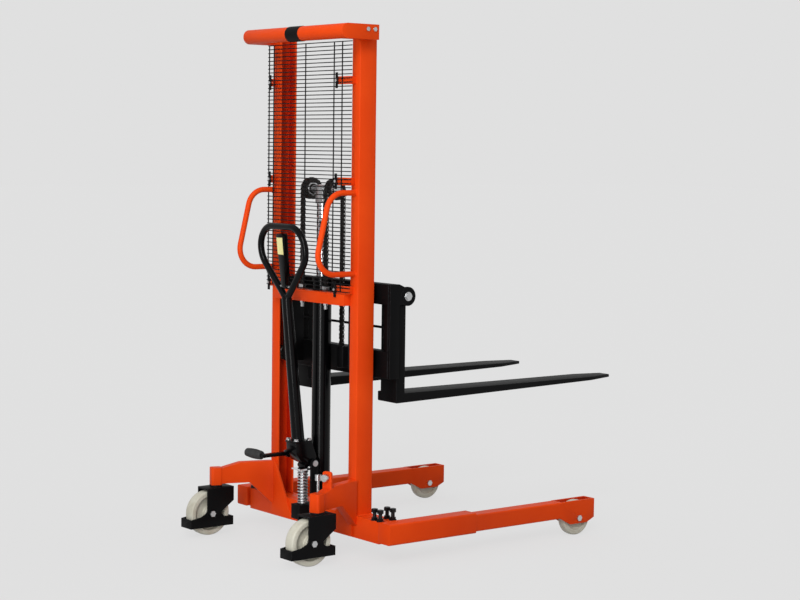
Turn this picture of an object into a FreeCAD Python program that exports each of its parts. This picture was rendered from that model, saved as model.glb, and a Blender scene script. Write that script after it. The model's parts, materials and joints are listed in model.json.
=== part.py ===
import FreeCAD, Part
import Sketcher
import math
import os
from types import SimpleNamespace

# Hand pallet stacker. All lengths are in millimetres. Lengths along the machine are counted from the rear
# face of the mast; every finished piece is then moved so that the whole stands centred on the origin.

sizes = {
    # fits and cuts
    "running_gap": 0.05,
    "side_gap": 0.5,
    "overrun": 4,
    # mast channels
    "mast_span": 583,
    "mast_depth": 79,
    "mast_flange": 51,
    "mast_wall": 8,
    "mast_top": 23.5,
    # base beam
    "beam_depth": 85,
    "beam_floor": 65,
    "beam_height": 85,
    "beam_span": 896,
    "beam_wall": 6,
    # top bar
    "bar_radius": 28.5,
    "bar_height": 2001.5,
    "bar_setback": 90,
    "bar_arm_width": 43.5,
    "bar_arm_front": 55,
    "sleeve_wall": 1.5,
    "sleeve_length": 84,
    "bar_bolt_radius": 9,
    "bar_bolt_head": 5,
    "bar_bolt_front": 34,
    "bar_bolt_rear": 1,
    "bar_bolt_rise": 10,
    # middle crossbar
    "crossbar_floor": 960,
    "crossbar_height": 44,
    "crossbar_rear": 30,
    "crossbar_front": 10,
    "crossbar_gap": 0.5,
    # guard
    "guard_setback": 30,
    "guard_right_end": 279,
    "guard_floor": 1013,
    "guard_top_gap": 30,
    "guard_pitch": 15.4,
    "guard_wire": 1.5,
    "guard_upright": 2,
    "guard_middle": 30,
    "guard_right_inner": 160,
    "guard_right_outer": 213,
    "guard_left_inner": 250,
    "guard_left_outer": 283,
    "guard_bracket_outer": 263,
    "guard_bracket_foot": 12,
    "guard_bracket_wall": 6,
    "guard_bracket_height": 30,
    "guard_clamp_width": 12,
    "guard_clamp_height": 60,
    "guard_clamp_wall": 4,
    "guard_bolt_radius": 4,
    "guard_bolt_head": 4,
    # grab handles
    "grab_radius": 11,
    "grab_side": 268,
    "grab_top": 310,
    "grab_upper_reach": 118,
    "grab_reach": 192,
    "grab_floor": 1084,
    "grab_bend": 75,
    # lift cylinder and rod
    "lift_place": 41,
    "cylinder_radius": 37.5,
    "cylinder_bore": 30,
    "cylinder_top": 890,
    "cylinder_base": 14,
    "gland_height": 20,
    "gland_radius": 41,
    "rod_radius": 19,
    "rod_foot": 450,
    "piston_height": 40,
    # chain wheels and crosshead
    "wheel_height": 1402,
    "chain_side": 79,
    "chain_radius": 40,
    "chain_pitch": 15.875,
    "chain_width": 22,
    "chain_half_depth": 6,
    "chain_waist": 4.4,
    "wheel_groove": 33.5,
    "wheel_rim": 42,
    "wheel_flange": 3,
    "wheel_play": 1,
    "wheel_axle_radius": 12,
    "wheel_washer": 18,
    "washer_wall": 3,
    "wheel_sleeve": 15,
    "yoke_half": 24,
    "yoke_depth": 40,
    "yoke_drop": 57,
    "yoke_rise": 18,
    "yoke_round": 14,
    # chain anchors
    "anchor_radius": 6,
    "anchor_nut": 10,
    "anchor_nut_height": 10,
    "anchor_tail": 26,
    "anchor_clevis": 20,
    "anchor_clevis_depth": 16,
    "anchor_clevis_width": 28,
    # carriage
    "carriage_rear": 14,
    "carriage_face": 102,
    "carriage_bar_depth": 46,
    "carriage_half": 350,
    "carriage_top": 365,
    "top_bar_height": 80,
    "lower_bar_height": 105,
    "carriage_floor": 680,
    "upright_width": 28,
    "plate_inner": 212,
    "plate_wall": 20,
    "plate_floor": 20,
    "plate_round": 20,
    "lug_depth": 30,
    "lug_width": 40,
    "tie_rod_radius": 5,
    "tie_rod_height": 90,
    "end_plate_wall": 12,
    "ear_radius": 30,
    "shaft_place": 190,
    "shaft_height": 32,
    "shaft_radius": 20,
    "shaft_stud": 6,
    "shaft_bolt_radius": 15,
    "shaft_bolt_head": 7,
    # guide rollers
    "roller_radius": 29.5,
    "roller_inner": 246,
    "roller_width": 28,
    "roller_stub": 15,
    "roller_edge": 3,
    "roller_cap": 20,
    "roller_cap_wall": 4,
    "roller_upper": 50,
    "roller_lower": 32,
    # forks
    "fork_width": 120,
    "fork_side": 62,
    "fork_shank": 42,
    "fork_shank_inset": 18,
    "fork_heel_round": 5,
    "fork_top": 620,
    "fork_heel": 38,
    "fork_point": 12,
    "fork_tip": 1318,
    "fork_tip_taper": 130,
    "fork_tip_width": 60,
    "fork_eye": 33,
    # legs
    "leg_inner": 450,
    "leg_width": 74,
    "leg_height": 80,
    "leg_floor": 73,
    "leg_rear": 10,
    "leg_step": 415,
    "leg_round": 7,
    "leg_wall": 6,
    "nose_width": 62,
    "nose_height": 67,
    "nose_floor": 78,
    "nose_seam": 875,
    "nose_wall": 8,
    "nose_front": 13,
    "nose_round": 6,
    "nose_belly": 50,
    "nose_belly_half": 45,
    "nose_lip": 68,
    "cross_inner": 20,
    "cross_wall": 5,
    "load_place": 20,
    "load_radius": 72,
    "load_width": 36,
    "load_axle_radius": 8,
    "load_hub": 22,
    "load_rim": 50,
    "load_web": 20,
    "load_edge": 5,
    "axle_head_radius": 13,
    "axle_head": 7,
    # clamp screws
    "screw_rear": 12,
    "screw_front": 72,
    "screw_near": 398,
    "screw_far": 434,
    "screw_radius": 5,
    "screw_height": 45,
    "screw_head_radius": 13.5,
    "screw_head": 14,
    "screw_nut_radius": 10,
    "screw_nut": 9,
    # caster arms
    "arm_root": 278,
    "caster_setback": 226,
    "caster_side": 353,
    "arm_thickness": 40,
    "arm_top": 88,
    "arm_flat": 139,
    "arm_end_top": 62,
    "arm_root_floor": 43,
    "arm_rise": 101,
    "arm_floor": 5,
    "socket_width": 46,
    "socket_floor": 7,
    "socket_top": 70,
    "socket_round": 10,
    "socket_cap": 10,
    "gusset_wall": 10,
    "gusset_floor": 3,
    "gusset_inner": 120,
    "gusset_knee": 155,
    "gusset_knee_height": 54,
    "gusset_shoulder": 251,
    "gusset_top": 2,
    # tie lug
    "lug_place": 172,
    "lug_plate_width": 40,
    "lug_plate_wall": 10,
    "lug_plate_top": 79,
    "lug_plate_floor": 66,
    "lug_plate_round": 10,
    "lug_hole_height": 56,
    "lug_bolt_radius": 8,
    "lug_bolt_head_radius": 12,
    "lug_bolt_head": 6,
    "lug_spacer_radius": 14,
    "lug_spacer": 20,
    # casters
    "caster_trail": 40,
    "caster_radius": 90,
    "caster_width": 50,
    "caster_hub": 26,
    "caster_rim": 68,
    "caster_web": 18,
    "caster_edge": 6,
    "caster_axle_radius": 8,
    "caster_half": 38,
    "caster_wall": 6,
    "caster_top": 6,
    "caster_plate": 7,
    "caster_crown": 62,
    "caster_knee": 136,
    "caster_waist": 34,
    "caster_waist_height": 88,
    "caster_front_flare": 61,
    "caster_front_flare_height": 74,
    "caster_rear_knee": 95,
    "caster_rear_flare": 52,
    "caster_rear_flare_height": 79,
    "caster_flare_round": 12,
    "skirt_floor": 36,
    "skirt_top": 72,
    "skirt_half": 100,
    "race_radius": 26,
    "stem_radius": 10,
    # pump
    "pump_rear": 80,
    "pump_half": 28,
    "pump_floor": 100,
    "pump_top": 58,
    "ear_half": 44,
    "pump_ear_wall": 8,
    "pump_ear_depth": 36,
    "pivot_setback": 18,
    "pivot_height": 164,
    "pivot_radius": 8,
    "pivot_boss": 18,
    "pivot_head": 5,
    "pivot_head_radius": 12,
    "plunger_setback": 45,
    "plunger_radius": 11,
    "plunger_foot": 8,
    "plunger_well": 12,
    "spring_radius": 19.5,
    "spring_wire": 2.5,
    "spring_rise": 10,
    "plate_floor_height": 27,
    "pressure_plate_wall": 6,
    "pressure_plate_rear": 78,
    "pressure_plate_front": 14,
    "pressure_plate_half": 30,
    # tiller seat and shaft
    "seat_half": 34,
    "seat_top": 118,
    "seat_crown_rear": 104,
    "seat_crown_front": 38,
    "seat_back": 100,
    "seat_back_height": 43,
    "seat_heel": 80,
    "seat_heel_height": 14,
    "seat_toe": 34,
    "seat_toe_height": 8,
    "seat_breast": 2,
    "seat_breast_height": 23,
    "cam_radius": 10,
    "cam_half": 24,
    "shaft_foot_setback": 66,
    "shaft_foot_height": 63,
    "tiller_length": 610,
    "tiller_foot_radius": 26,
    "tiller_head_radius": 20,
    # tiller loop
    "loop_tube": 13,
    "loop_half": 186,
    "loop_side_rise": 200,
    "loop_top": 287,
    "loop_shoulder": 98,
    "loop_bend": 88,
    "loop_crotch": 24,
    "loop_rise": 590,
    "lever_width": 46,
    "lever_foot_width": 26,
    "lever_depth": 24,
    "lever_wall": 4,
    "lever_round": 10,
    "lever_foot": 52,
    "lever_length": 208,
    "lever_pin": 5,
    "lever_boss": 10,
    "label_width": 38,
    "label_height": 66,
    "label_wall": 1,
    "label_rise": 127,
    # foot pedal
    "pedal_boss_setback": 82,
    "pedal_boss_height": 34,
    "pedal_boss_radius": 15,
    "pedal_side": 50,
    "pedal_arm_width": 20,
    "pedal_arm_height": 14,
    "pedal_pin": 7,
    "pedal_reach": 200,
    "pedal_peg": 8,
    "pad_radius": 16,
    "pad_length": 104,
    "pad_cap": 8,
    "pad_round": 6,
    # release valve
    "valve_setback": 13,
    "valve_side": 59,
    "valve_boss_floor": 18,
    "valve_boss_height": 22,
    "valve_disc": 15,
    "valve_disc_wall": 8,
    "valve_stem": 5,
    "valve_cap_rise": 58,
    "valve_cap": 13,
    "valve_height": 82,
}
tiller_lean = 6
spring_turns = 10
spring_lead = 60
guard_row_shares = (0, 0.436, 0.84)
guard_step_share = 0.5


class Size:
    def __init__(self, number, text):
        self.number = number
        self.text = text

    def __float__(self):
        return float(self.number)

    def __add__(self, other):
        return Size(float(self) + float(other), f"({self.text} + {text_of(other)})")

    def __sub__(self, other):
        return Size(float(self) - float(other), f"({self.text} - {text_of(other)})")

    def __rsub__(self, other):
        return Size(float(other) - float(self), f"({text_of(other)} - {self.text})")

    def __mul__(self, other):
        return Size(float(self) * float(other), f"({self.text} * {text_of(other)})")

    def __truediv__(self, other):
        return Size(float(self) / float(other), f"({self.text} / {text_of(other)})")

    def __neg__(self):
        return Size(-float(self), f"(0 - {self.text})")

    __radd__ = __add__
    __rmul__ = __mul__


def text_of(value):
    return value.text if isinstance(value, Size) else str(value)


doc = FreeCAD.newDocument("hand_pallet_stacker")
sheet = doc.addObject("Spreadsheet::Sheet", "sizes")
for row, (alias, value) in enumerate(sizes.items(), 1):
    sheet.set(f"A{row}", alias)
    sheet.set(f"B{row}", str(value))
    sheet.setAlias(f"B{row}", alias)
doc.recompute()
s = SimpleNamespace(**{alias: Size(value, f"sizes.{alias}") for alias, value in sizes.items()})

axis_turns = {
    "x": FreeCAD.Rotation(FreeCAD.Vector(0, 1, 0), 90),
    "y": FreeCAD.Rotation(FreeCAD.Vector(1, 0, 0), -90),
    "z": FreeCAD.Rotation(),
}
finished = []


def bind(thing, **formulas):
    for name, value in formulas.items():
        thing.setExpression(name, text_of(value))


def place(thing, x, y, z):
    for letter, value in zip("xyz", (x, y, z)):
        thing.setExpression(f"Placement.Base.{letter}", text_of(value))


def block(x, y, z):
    thing = doc.addObject("Part::Box", "block")
    bind(thing, Length=x[1] - x[0], Width=y[1] - y[0], Height=z[1] - z[0])
    place(thing, x[0], y[0], z[0])
    return thing


def along(axis, centre, start):
    spot = list(centre)
    spot.insert("xyz".index(axis), start)
    return spot


def rod(axis, centre, span, radius):
    thing = doc.addObject("Part::Cylinder", "rod")
    thing.Placement = FreeCAD.Placement(FreeCAD.Vector(), axis_turns[axis])
    bind(thing, Radius=radius, Height=span[1] - span[0])
    place(thing, *along(axis, centre, span[0]))
    return thing


def taper(axis, centre, span, radius, end_radius):
    thing = doc.addObject("Part::Cone", "taper")
    thing.Placement = FreeCAD.Placement(FreeCAD.Vector(), axis_turns[axis])
    bind(thing, Radius1=radius, Radius2=end_radius, Height=span[1] - span[0])
    place(thing, *along(axis, centre, span[0]))
    return thing


def hexagon(axis, centre, span, radius):
    thing = doc.addObject("Part::Prism", "hexagon")
    thing.Polygon = 6
    thing.Placement = FreeCAD.Placement(FreeCAD.Vector(), axis_turns[axis])
    bind(thing, Circumradius=radius, Height=span[1] - span[0])
    place(thing, *along(axis, centre, span[0]))
    return thing


def outline(body, plane, points):
    sketch = body.newObject("Sketcher::SketchObject", "outline")
    origin_plane = {"xy": 3, "xz": 4, "yz": 5}[plane]
    sketch.AttachmentSupport = [(body.Origin.OriginFeatures[origin_plane], "")]
    sketch.MapMode = "FlatFace"
    corners = [FreeCAD.Vector(float(a), float(b), 0) for a, b in points]
    for index, corner in enumerate(corners):
        sketch.addGeometry(Part.LineSegment(corner, corners[(index + 1) % len(corners)]), False)
    for index, pair in enumerate(points):
        follower = (index + 1) % len(points)
        sketch.addConstraint(Sketcher.Constraint("Coincident", index, 2, follower, 1))
        for kind, axis_line, value in zip(("DistanceX", "DistanceY"), (-2, -1), pair):
            if float(value) == 0:
                sketch.addConstraint(Sketcher.Constraint("PointOnObject", index, 1, axis_line))
            else:
                order = sketch.addConstraint(Sketcher.Constraint(kind, -1, 1, index, 1, float(value)))
                sketch.setExpression(f"Constraints[{order}]", text_of(value))
    return sketch


def prism(plane, points, span, round_radius=None, rounded=None):
    body = doc.addObject("PartDesign::Body", "body")
    sketch = outline(body, plane, points)
    pad = body.newObject("PartDesign::Pad", "pad")
    pad.Profile = sketch
    pad.Reversed = plane == "xz"
    bind(pad, Length=span[1] - span[0])
    normal = {"xy": "z", "xz": "y", "yz": "x"}[plane]
    if round_radius is not None:
        doc.recompute()
        chosen = range(len(points)) if rounded is None else rounded
        spots = [tuple(float(value) for value in points[index]) for index in chosen]
        places = ["xyz".index(letter) for letter in plane]
        names = []
        for number, edge in enumerate(pad.Shape.Edges, 1):
            ends = [tuple(vertex.Point[place] for place in places) for vertex in edge.Vertexes]
            if math.dist(ends[0], ends[-1]) < 1e-6 and any(math.dist(ends[0], spot) < 1e-6 for spot in spots):
                names.append(f"Edge{number}")
        fillet = body.newObject("PartDesign::Fillet", "rounding")
        fillet.Base = (pad, names)
        bind(fillet, Radius=round_radius)
    place(body, *along(normal, (0, 0), span[0]))
    return body


def turned(axis, centre, points):
    body = doc.addObject("PartDesign::Body", "body")
    sketch = outline(body, "xz", points)
    revolution = body.newObject("PartDesign::Revolution", "revolution")
    revolution.Profile = sketch
    revolution.ReferenceAxis = (sketch, ["V_Axis"])
    revolution.Angle = 360
    body.Placement = FreeCAD.Placement(FreeCAD.Vector(), axis_turns[axis])
    place(body, *centre)
    return body


def fuse(*things):
    thing = doc.addObject("Part::MultiFuse", "joined")
    thing.Shapes = list(things)
    thing.Refine = True
    return thing


def cut(base, *tools):
    for tool in tools:
        thing = doc.addObject("Part::Cut", "opened")
        thing.Base = base
        thing.Tool = tool
        base = thing
    return base


def mirrored(source):
    thing = doc.addObject("Part::Mirroring", "mirrored")
    thing.Source = source
    thing.Normal = FreeCAD.Vector(0, 1, 0)
    return thing


def shaped(shape):
    thing = doc.addObject("Part::Feature", "shaped")
    thing.Shape = shape
    return thing


def group(things, placement=None):
    thing = doc.addObject("Part::Compound", "group")
    thing.Links = list(things)
    if placement is not None:
        thing.Placement = placement
    return thing


def finish(label, *things):
    thing = group(things)
    thing.Label = label
    place(thing, (s.caster_setback + s.caster_trail + s.skirt_half - s.fork_tip) / 2, 0, 0)
    finished.append(thing)


def both_sides(label, thing):
    finish(f"{label}_left", thing)
    finish(f"{label}_right", mirrored(thing))


def bent_wire(points, radii, closed=False):
    corners = [FreeCAD.Vector(*(float(value) for value in point)) for point in points]
    count = len(corners)
    edges = []
    last = None
    first = None
    turns = range(count) if closed else range(1, count - 1)
    for index in turns:
        before = (corners[index - 1] - corners[index]).normalize()
        after = (corners[(index + 1) % count] - corners[index]).normalize()
        half = before.getAngle(after) / 2
        radius = float(radii[index])
        reach = radius / math.tan(half)
        inward = (before + after).normalize()
        begin = corners[index] + before * reach
        end = corners[index] + after * reach
        middle = corners[index] + inward * (radius / math.sin(half) - radius)
        if last is not None or not closed:
            edges.append(Part.LineSegment(last or corners[0], begin).toShape())
        edges.append(Part.Arc(begin, middle, end).toShape())
        first = first or begin
        last = end
    edges.append(Part.LineSegment(last, first if closed else corners[-1]).toShape())
    return Part.Wire(edges)


def swept(path, radius):
    start = path.Edges[0].Vertexes[0].Point
    heading = path.Edges[0].tangentAt(path.Edges[0].FirstParameter)
    ring = Part.Wire(Part.Circle(start, heading, float(radius)).toShape())
    return path.makePipeShell([ring], True, False)


beam_top = s.beam_floor + s.beam_height
mast_half = s.mast_span / 2
flange_tip = mast_half - s.mast_flange
crossbar_top = s.crossbar_floor + s.crossbar_height
lift_axis = (s.lift_place, 0)
chain_rear = s.lift_place - s.chain_radius


# Mast channels, open towards each other.
def mast():
    web = mast_half - s.mast_wall
    front = s.mast_depth - s.mast_wall
    points = [
        (0, flange_tip), (s.mast_wall, flange_tip), (s.mast_wall, web), (front, web),
        (front, flange_tip), (s.mast_depth, flange_tip), (s.mast_depth, mast_half), (0, mast_half),
    ]
    return prism("xy", points, (beam_top, s.bar_height + s.mast_top))


both_sides("mast", mast())

# Hollow base beam with the clamp screws that hold the legs at their width.
screw_places = []
for place_x in (s.screw_rear, s.screw_front):
    for place_y in (s.screw_near, s.screw_far):
        screw_places += [(place_x, place_y), (place_x, -place_y)]


def base_beam():
    half = s.beam_span / 2
    shell = block((0, s.beam_depth), (-half, half), (s.beam_floor, beam_top))
    hollow = block(
        (s.beam_wall, s.beam_depth - s.beam_wall),
        (-half - s.overrun, half + s.overrun),
        (s.beam_floor + s.beam_wall, beam_top - s.beam_wall),
    )
    through = (beam_top - s.beam_wall - s.overrun, beam_top + s.overrun)
    holes = [rod("z", spot, through, s.screw_radius + s.running_gap) for spot in screw_places]
    return cut(shell, hollow, group(holes))


def clamp_screw(spot):
    head = beam_top + s.screw_height - s.screw_head
    return fuse(
        rod("z", spot, (beam_top - s.beam_wall, head), s.screw_radius),
        hexagon("z", spot, (beam_top, beam_top + s.screw_nut), s.screw_nut_radius),
        hexagon("z", spot, (head, beam_top + s.screw_height), s.screw_head_radius),
    )


finish("base_beam", base_beam())
finish("clamp_screws", *[clamp_screw(spot) for spot in screw_places])


# Round bar behind the mast tops, welded to flat arms that are bolted to the masts.
def top_bar():
    end = mast_half + s.bar_arm_width
    arm = block(
        (-s.bar_setback, s.bar_arm_front),
        (mast_half, end),
        (s.bar_height - s.bar_radius, s.bar_height + s.bar_radius),
    )
    return fuse(rod("y", (-s.bar_setback, s.bar_height), (-end, end), s.bar_radius), arm, mirrored(arm))


def top_bar_bolt(place_x):
    face = mast_half + s.bar_arm_width
    spot = (place_x, s.bar_height + s.bar_bolt_rise)
    return hexagon("y", spot, (face, face + s.bar_bolt_head), s.bar_bolt_radius)


def top_bar_sleeve():
    axis = (-s.bar_setback, s.bar_height)
    half = s.sleeve_length / 2
    return cut(
        rod("y", axis, (-half, half), s.bar_radius + s.sleeve_wall),
        rod("y", axis, (-half - s.overrun, half + s.overrun), s.bar_radius),
    )


bar_bolts = [top_bar_bolt(place_x) for place_x in (s.bar_bolt_rear, s.bar_bolt_front)]
finish("top_bar", top_bar())
finish("top_bar_sleeve", top_bar_sleeve())


# Crossbar between the masts, with a saddle for the cylinder and the fixed chain ends.
def mid_crossbar():
    through = (s.crossbar_floor - s.overrun, crossbar_top + s.overrun)
    depth = (-s.crossbar_rear, s.crossbar_front)
    bar = block(depth, (-flange_tip, flange_tip), (s.crossbar_floor, crossbar_top))
    saddle = rod("z", lift_axis, through, s.cylinder_radius + s.crossbar_gap)
    hole = rod("z", (chain_rear, s.chain_side), through, s.anchor_radius + s.running_gap)
    return cut(bar, saddle, hole, mirrored(hole))


def chain_anchor():
    spot = (chain_rear, s.chain_side)
    return fuse(
        rod("z", spot, (s.crossbar_floor - s.anchor_tail, crossbar_top), s.anchor_radius),
        hexagon("z", spot, (s.crossbar_floor - s.anchor_nut_height, s.crossbar_floor), s.anchor_nut),
        block(
            (chain_rear - s.anchor_clevis_depth / 2, chain_rear + s.anchor_clevis_depth / 2),
            (s.chain_side - s.anchor_clevis_width / 2, s.chain_side + s.anchor_clevis_width / 2),
            (crossbar_top, crossbar_top + s.anchor_clevis),
        ),
    )


anchor = chain_anchor()
finish("mid_crossbar", mid_crossbar())
finish("chain_anchors", anchor, mirrored(anchor))

# Wire guard: level wires on uprights, held by brackets, clamp plates and bolts between pairs of uprights.
guard_back = -(s.guard_setback + s.guard_wire)
guard_front = -(s.guard_setback - s.guard_wire - s.guard_upright * 2)
guard_rise = s.bar_height - s.guard_top_gap - s.guard_floor
guard_steps = int(float(guard_rise) / float(s.guard_pitch))
guard_levels = [s.guard_floor + s.guard_pitch * row for row in range(guard_steps)]
guard_levels.append(s.guard_floor + s.guard_pitch * guard_steps)
grab_crest = s.grab_floor + s.grab_top
clamp_left = (s.guard_left_inner + s.guard_left_outer) / 2
clamp_right = -(s.guard_right_inner + s.guard_right_outer) / 2
clamp_half = s.guard_clamp_width / 2


def guard_mesh():
    wires = []
    leg_reach = s.grab_radius + s.guard_wire * 2
    short = s.guard_left_inner + s.guard_upright
    for height in guard_levels:
        span = (-s.guard_right_end, s.guard_left_outer + s.guard_upright)
        for leg in (grab_crest, s.grab_floor):
            if abs(float(height) - float(leg)) < float(leg_reach):
                span = (-short, short)
        wires.append(rod("y", (-s.guard_setback, height), span, s.guard_wire))
    place_x = guard_front - s.guard_upright
    rise = (s.guard_floor - s.guard_wire, guard_levels[-1] + s.guard_wire)
    left = [s.guard_left_outer, s.guard_left_inner]
    right = [-s.guard_right_inner, -s.guard_right_outer]
    for side in left + [s.guard_middle] + right:
        wires.append(rod("z", (place_x, side), rise, s.guard_upright))
    return wires


def bracket_level(height):
    return (height - s.guard_bracket_height / 2, height + s.guard_bracket_height / 2)


def left_bracket(height):
    return block((guard_front, 0), (clamp_left - clamp_half, clamp_left + clamp_half), bracket_level(height))


def right_bracket(height):
    outer = -s.guard_bracket_outer
    level = bracket_level(height)
    return fuse(
        block((guard_front, 0), (outer, outer + s.guard_bracket_foot), level),
        block((guard_front, guard_front + s.guard_bracket_wall), (outer, clamp_right + clamp_half), level),
    )


def guard_clamp(side, height):
    plate = block(
        (guard_back - s.guard_clamp_wall, guard_back),
        (side - clamp_half, side + clamp_half),
        (height - s.guard_clamp_height / 2, height + s.guard_clamp_height / 2),
    )
    through = (guard_back - s.guard_clamp_wall - s.overrun, guard_back + s.overrun)
    return cut(plate, rod("x", (side, height), through, s.guard_bolt_radius + s.running_gap))


def guard_bolt(side, height):
    seat = guard_back - s.guard_clamp_wall
    return fuse(
        rod("x", (side, height), (seat, guard_front), s.guard_bolt_radius),
        hexagon("x", (side, height), (seat - s.guard_bolt_head, seat), clamp_half),
    )


guard_rows = [round(guard_steps * share) for share in guard_row_shares]
row_heights = [guard_levels[row] + s.guard_pitch * guard_step_share for row in guard_rows]
clamp_spots = [(side, height) for side in (clamp_left, clamp_right) for height in row_heights]
finish("guard_mesh", *guard_mesh())
finish("guard_brackets", *[maker(height) for maker in (left_bracket, right_bracket) for height in row_heights])
finish("guard_clamps", *[guard_clamp(*spot) for spot in clamp_spots])
guard_bolts = [guard_bolt(*spot) for spot in clamp_spots]


# Bent round grab handles on the rear of the masts.
def grab_handle():
    path = [
        (0, s.grab_side, grab_crest),
        (-s.grab_upper_reach, s.grab_side, grab_crest),
        (-s.grab_reach, s.grab_side, s.grab_floor),
        (0, s.grab_side, s.grab_floor),
    ]
    return shaped(swept(bent_wire(path, [s.grab_bend] * len(path)), s.grab_radius))


grab_left = grab_handle()
finish("grab_handles", grab_left, mirrored(grab_left))


# Lift cylinder on the beam, with its collar.
def lift_cylinder():
    height = s.cylinder_top
    points = [
        (0, 0), (s.cylinder_radius, 0), (s.cylinder_radius, height), (s.cylinder_bore, height),
        (s.cylinder_bore, s.cylinder_base), (0, s.cylinder_base),
    ]
    return turned("z", (s.lift_place, 0, beam_top), points)


def cylinder_gland():
    bore = s.rod_radius + s.running_gap
    points = [(bore, 0), (s.gland_radius, 0), (s.gland_radius, s.gland_height), (bore, s.gland_height)]
    return turned("z", (s.lift_place, 0, beam_top + s.cylinder_top), points)


finish("lift_cylinder", lift_cylinder())
finish("cylinder_gland", cylinder_gland())

# Splayed caster arms with a foot gusset on the mast and a socket at the end.
arm_offset = s.caster_side - s.arm_root
arm_reach = Size(
    math.hypot(float(s.caster_setback), float(arm_offset)),
    f"sqrt({s.caster_setback.text} ^ 2 + {arm_offset.text} ^ 2)",
)
arm_heading = math.degrees(math.atan2(float(arm_offset), -float(s.caster_setback)))
arm_frame = FreeCAD.Placement(
    FreeCAD.Vector(0, float(s.arm_root), 0),
    FreeCAD.Rotation(FreeCAD.Vector(0, 0, 1), arm_heading),
)


# Heights of the arm and its socket, counted up from the caster's wheel, and of the gusset from the beam.
caster_crest = s.caster_radius * 2 + s.caster_top + s.caster_plate
socket_foot = caster_crest + s.socket_floor
socket_crest = socket_foot + s.socket_top
arm_underside = socket_foot + s.arm_floor
arm_end_crest = socket_foot + s.arm_end_top
arm_crest = socket_foot + s.arm_top
arm_root_underside = s.beam_floor + s.arm_root_floor
gusset_foot = s.beam_floor + s.gusset_floor
gusset_knee_level = s.beam_floor + s.gusset_knee_height
gusset_crest = arm_crest + s.gusset_top
lug_foot = socket_foot + s.lug_plate_floor
lug_crest = lug_foot + s.lug_plate_top
lug_hole = lug_foot + s.lug_hole_height


def caster_arm():
    half = s.arm_thickness / 2
    points = [
        (-half, arm_root_underside), (0, arm_root_underside),
        (s.arm_rise, arm_underside), (arm_reach, arm_underside),
        (arm_reach, arm_end_crest), (s.arm_flat, arm_crest), (-half, arm_crest),
    ]
    side = s.socket_width / 2
    corners = [
        (arm_reach - side, -side), (arm_reach + side, -side),
        (arm_reach + side, side), (arm_reach - side, side),
    ]
    arm = fuse(
        prism("xz", points, (-half, half)),
        prism("xy", corners, (socket_foot, socket_crest), s.socket_round),
    )
    ahead = block((0, s.arm_thickness), (0, s.caster_side), (0, arm_crest + s.overrun))
    root = [
        (s.arm_root, gusset_foot), (s.arm_root, arm_crest), (s.gusset_shoulder, gusset_crest),
        (s.gusset_knee, gusset_knee_level), (s.gusset_inner, gusset_foot),
    ]
    gusset = prism("yz", root, (-s.gusset_wall, 0))
    well = (socket_foot - s.overrun, socket_crest - s.socket_cap)
    bore = rod("z", (-s.caster_setback, s.caster_side), well, s.stem_radius + s.running_gap)
    return cut(fuse(cut(group([arm], arm_frame), ahead), gusset), bore)


arm_left = caster_arm()


# Upright lug welded on the right caster arm, with a bolt and spacer.
def tie_lug():
    half = s.lug_plate_width / 2
    points = [
        (-half, lug_foot), (half, lug_foot),
        (half, lug_crest), (-half, lug_crest),
    ]
    span = (s.lug_place - s.lug_plate_wall / 2, s.lug_place + s.lug_plate_wall / 2)
    plate = prism("yz", points, span, s.lug_plate_round, [2, 3])
    through = (span[0] - s.overrun, span[1] + s.overrun)
    hole = rod("x", (0, lug_hole), through, s.lug_bolt_radius + s.running_gap)
    return group([cut(plate, hole)], arm_frame)


def lug_bolt():
    spot = (0, lug_hole)
    front = s.lug_place - s.lug_plate_wall / 2
    back = s.lug_place + s.lug_plate_wall / 2
    bolt = fuse(
        rod("x", spot, (front, back), s.lug_bolt_radius),
        hexagon("x", spot, (front - s.lug_bolt_head, front), s.lug_bolt_head_radius),
        rod("x", spot, (back, back + s.lug_spacer), s.lug_spacer_radius),
    )
    return group([bolt], arm_frame)


finish("caster_arm_left", arm_left)
finish("caster_arm_right", mirrored(fuse(arm_left, tie_lug())))
finish("frame_bolts", *bar_bolts, *[mirrored(bolt) for bolt in bar_bolts], *guard_bolts, mirrored(lug_bolt()))

# Piston rod, crosshead and chain wheels.
yoke_floor = s.wheel_height - s.yoke_drop
groove_half = s.chain_width / 2 + s.side_gap
wheel_half = groove_half + s.wheel_flange
wheel_axis = (s.lift_place, s.wheel_height)


def piston_rod():
    height = yoke_floor - s.rod_foot
    piston = s.cylinder_bore - s.running_gap
    points = [
        (0, 0), (piston, 0), (piston, s.piston_height), (s.rod_radius, s.piston_height),
        (s.rod_radius, height), (0, height),
    ]
    return turned("z", (s.lift_place, 0, s.rod_foot), points)


def crosshead_yoke():
    rear = s.lift_place - s.yoke_depth / 2
    front = s.lift_place + s.yoke_depth / 2
    top = s.wheel_height + s.yoke_rise
    points = [(rear, yoke_floor), (front, yoke_floor), (front, top), (rear, top)]
    yoke = prism("xz", points, (-s.yoke_half, s.yoke_half), s.yoke_round, [2, 3])
    through = (-s.yoke_half - s.overrun, s.yoke_half + s.overrun)
    return cut(yoke, rod("y", wheel_axis, through, s.wheel_axle_radius + s.running_gap))


def wheel_axle():
    shoulder = s.chain_side - wheel_half - s.wheel_play
    seat = s.chain_side + wheel_half + s.wheel_play
    end = seat + s.washer_wall
    sleeve = rod("y", wheel_axis, (s.yoke_half, shoulder), s.wheel_sleeve)
    washer = rod("y", wheel_axis, (seat, end), s.wheel_washer)
    through = rod("y", wheel_axis, (-end, end), s.wheel_axle_radius)
    return fuse(through, sleeve, washer, mirrored(sleeve), mirrored(washer))


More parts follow.
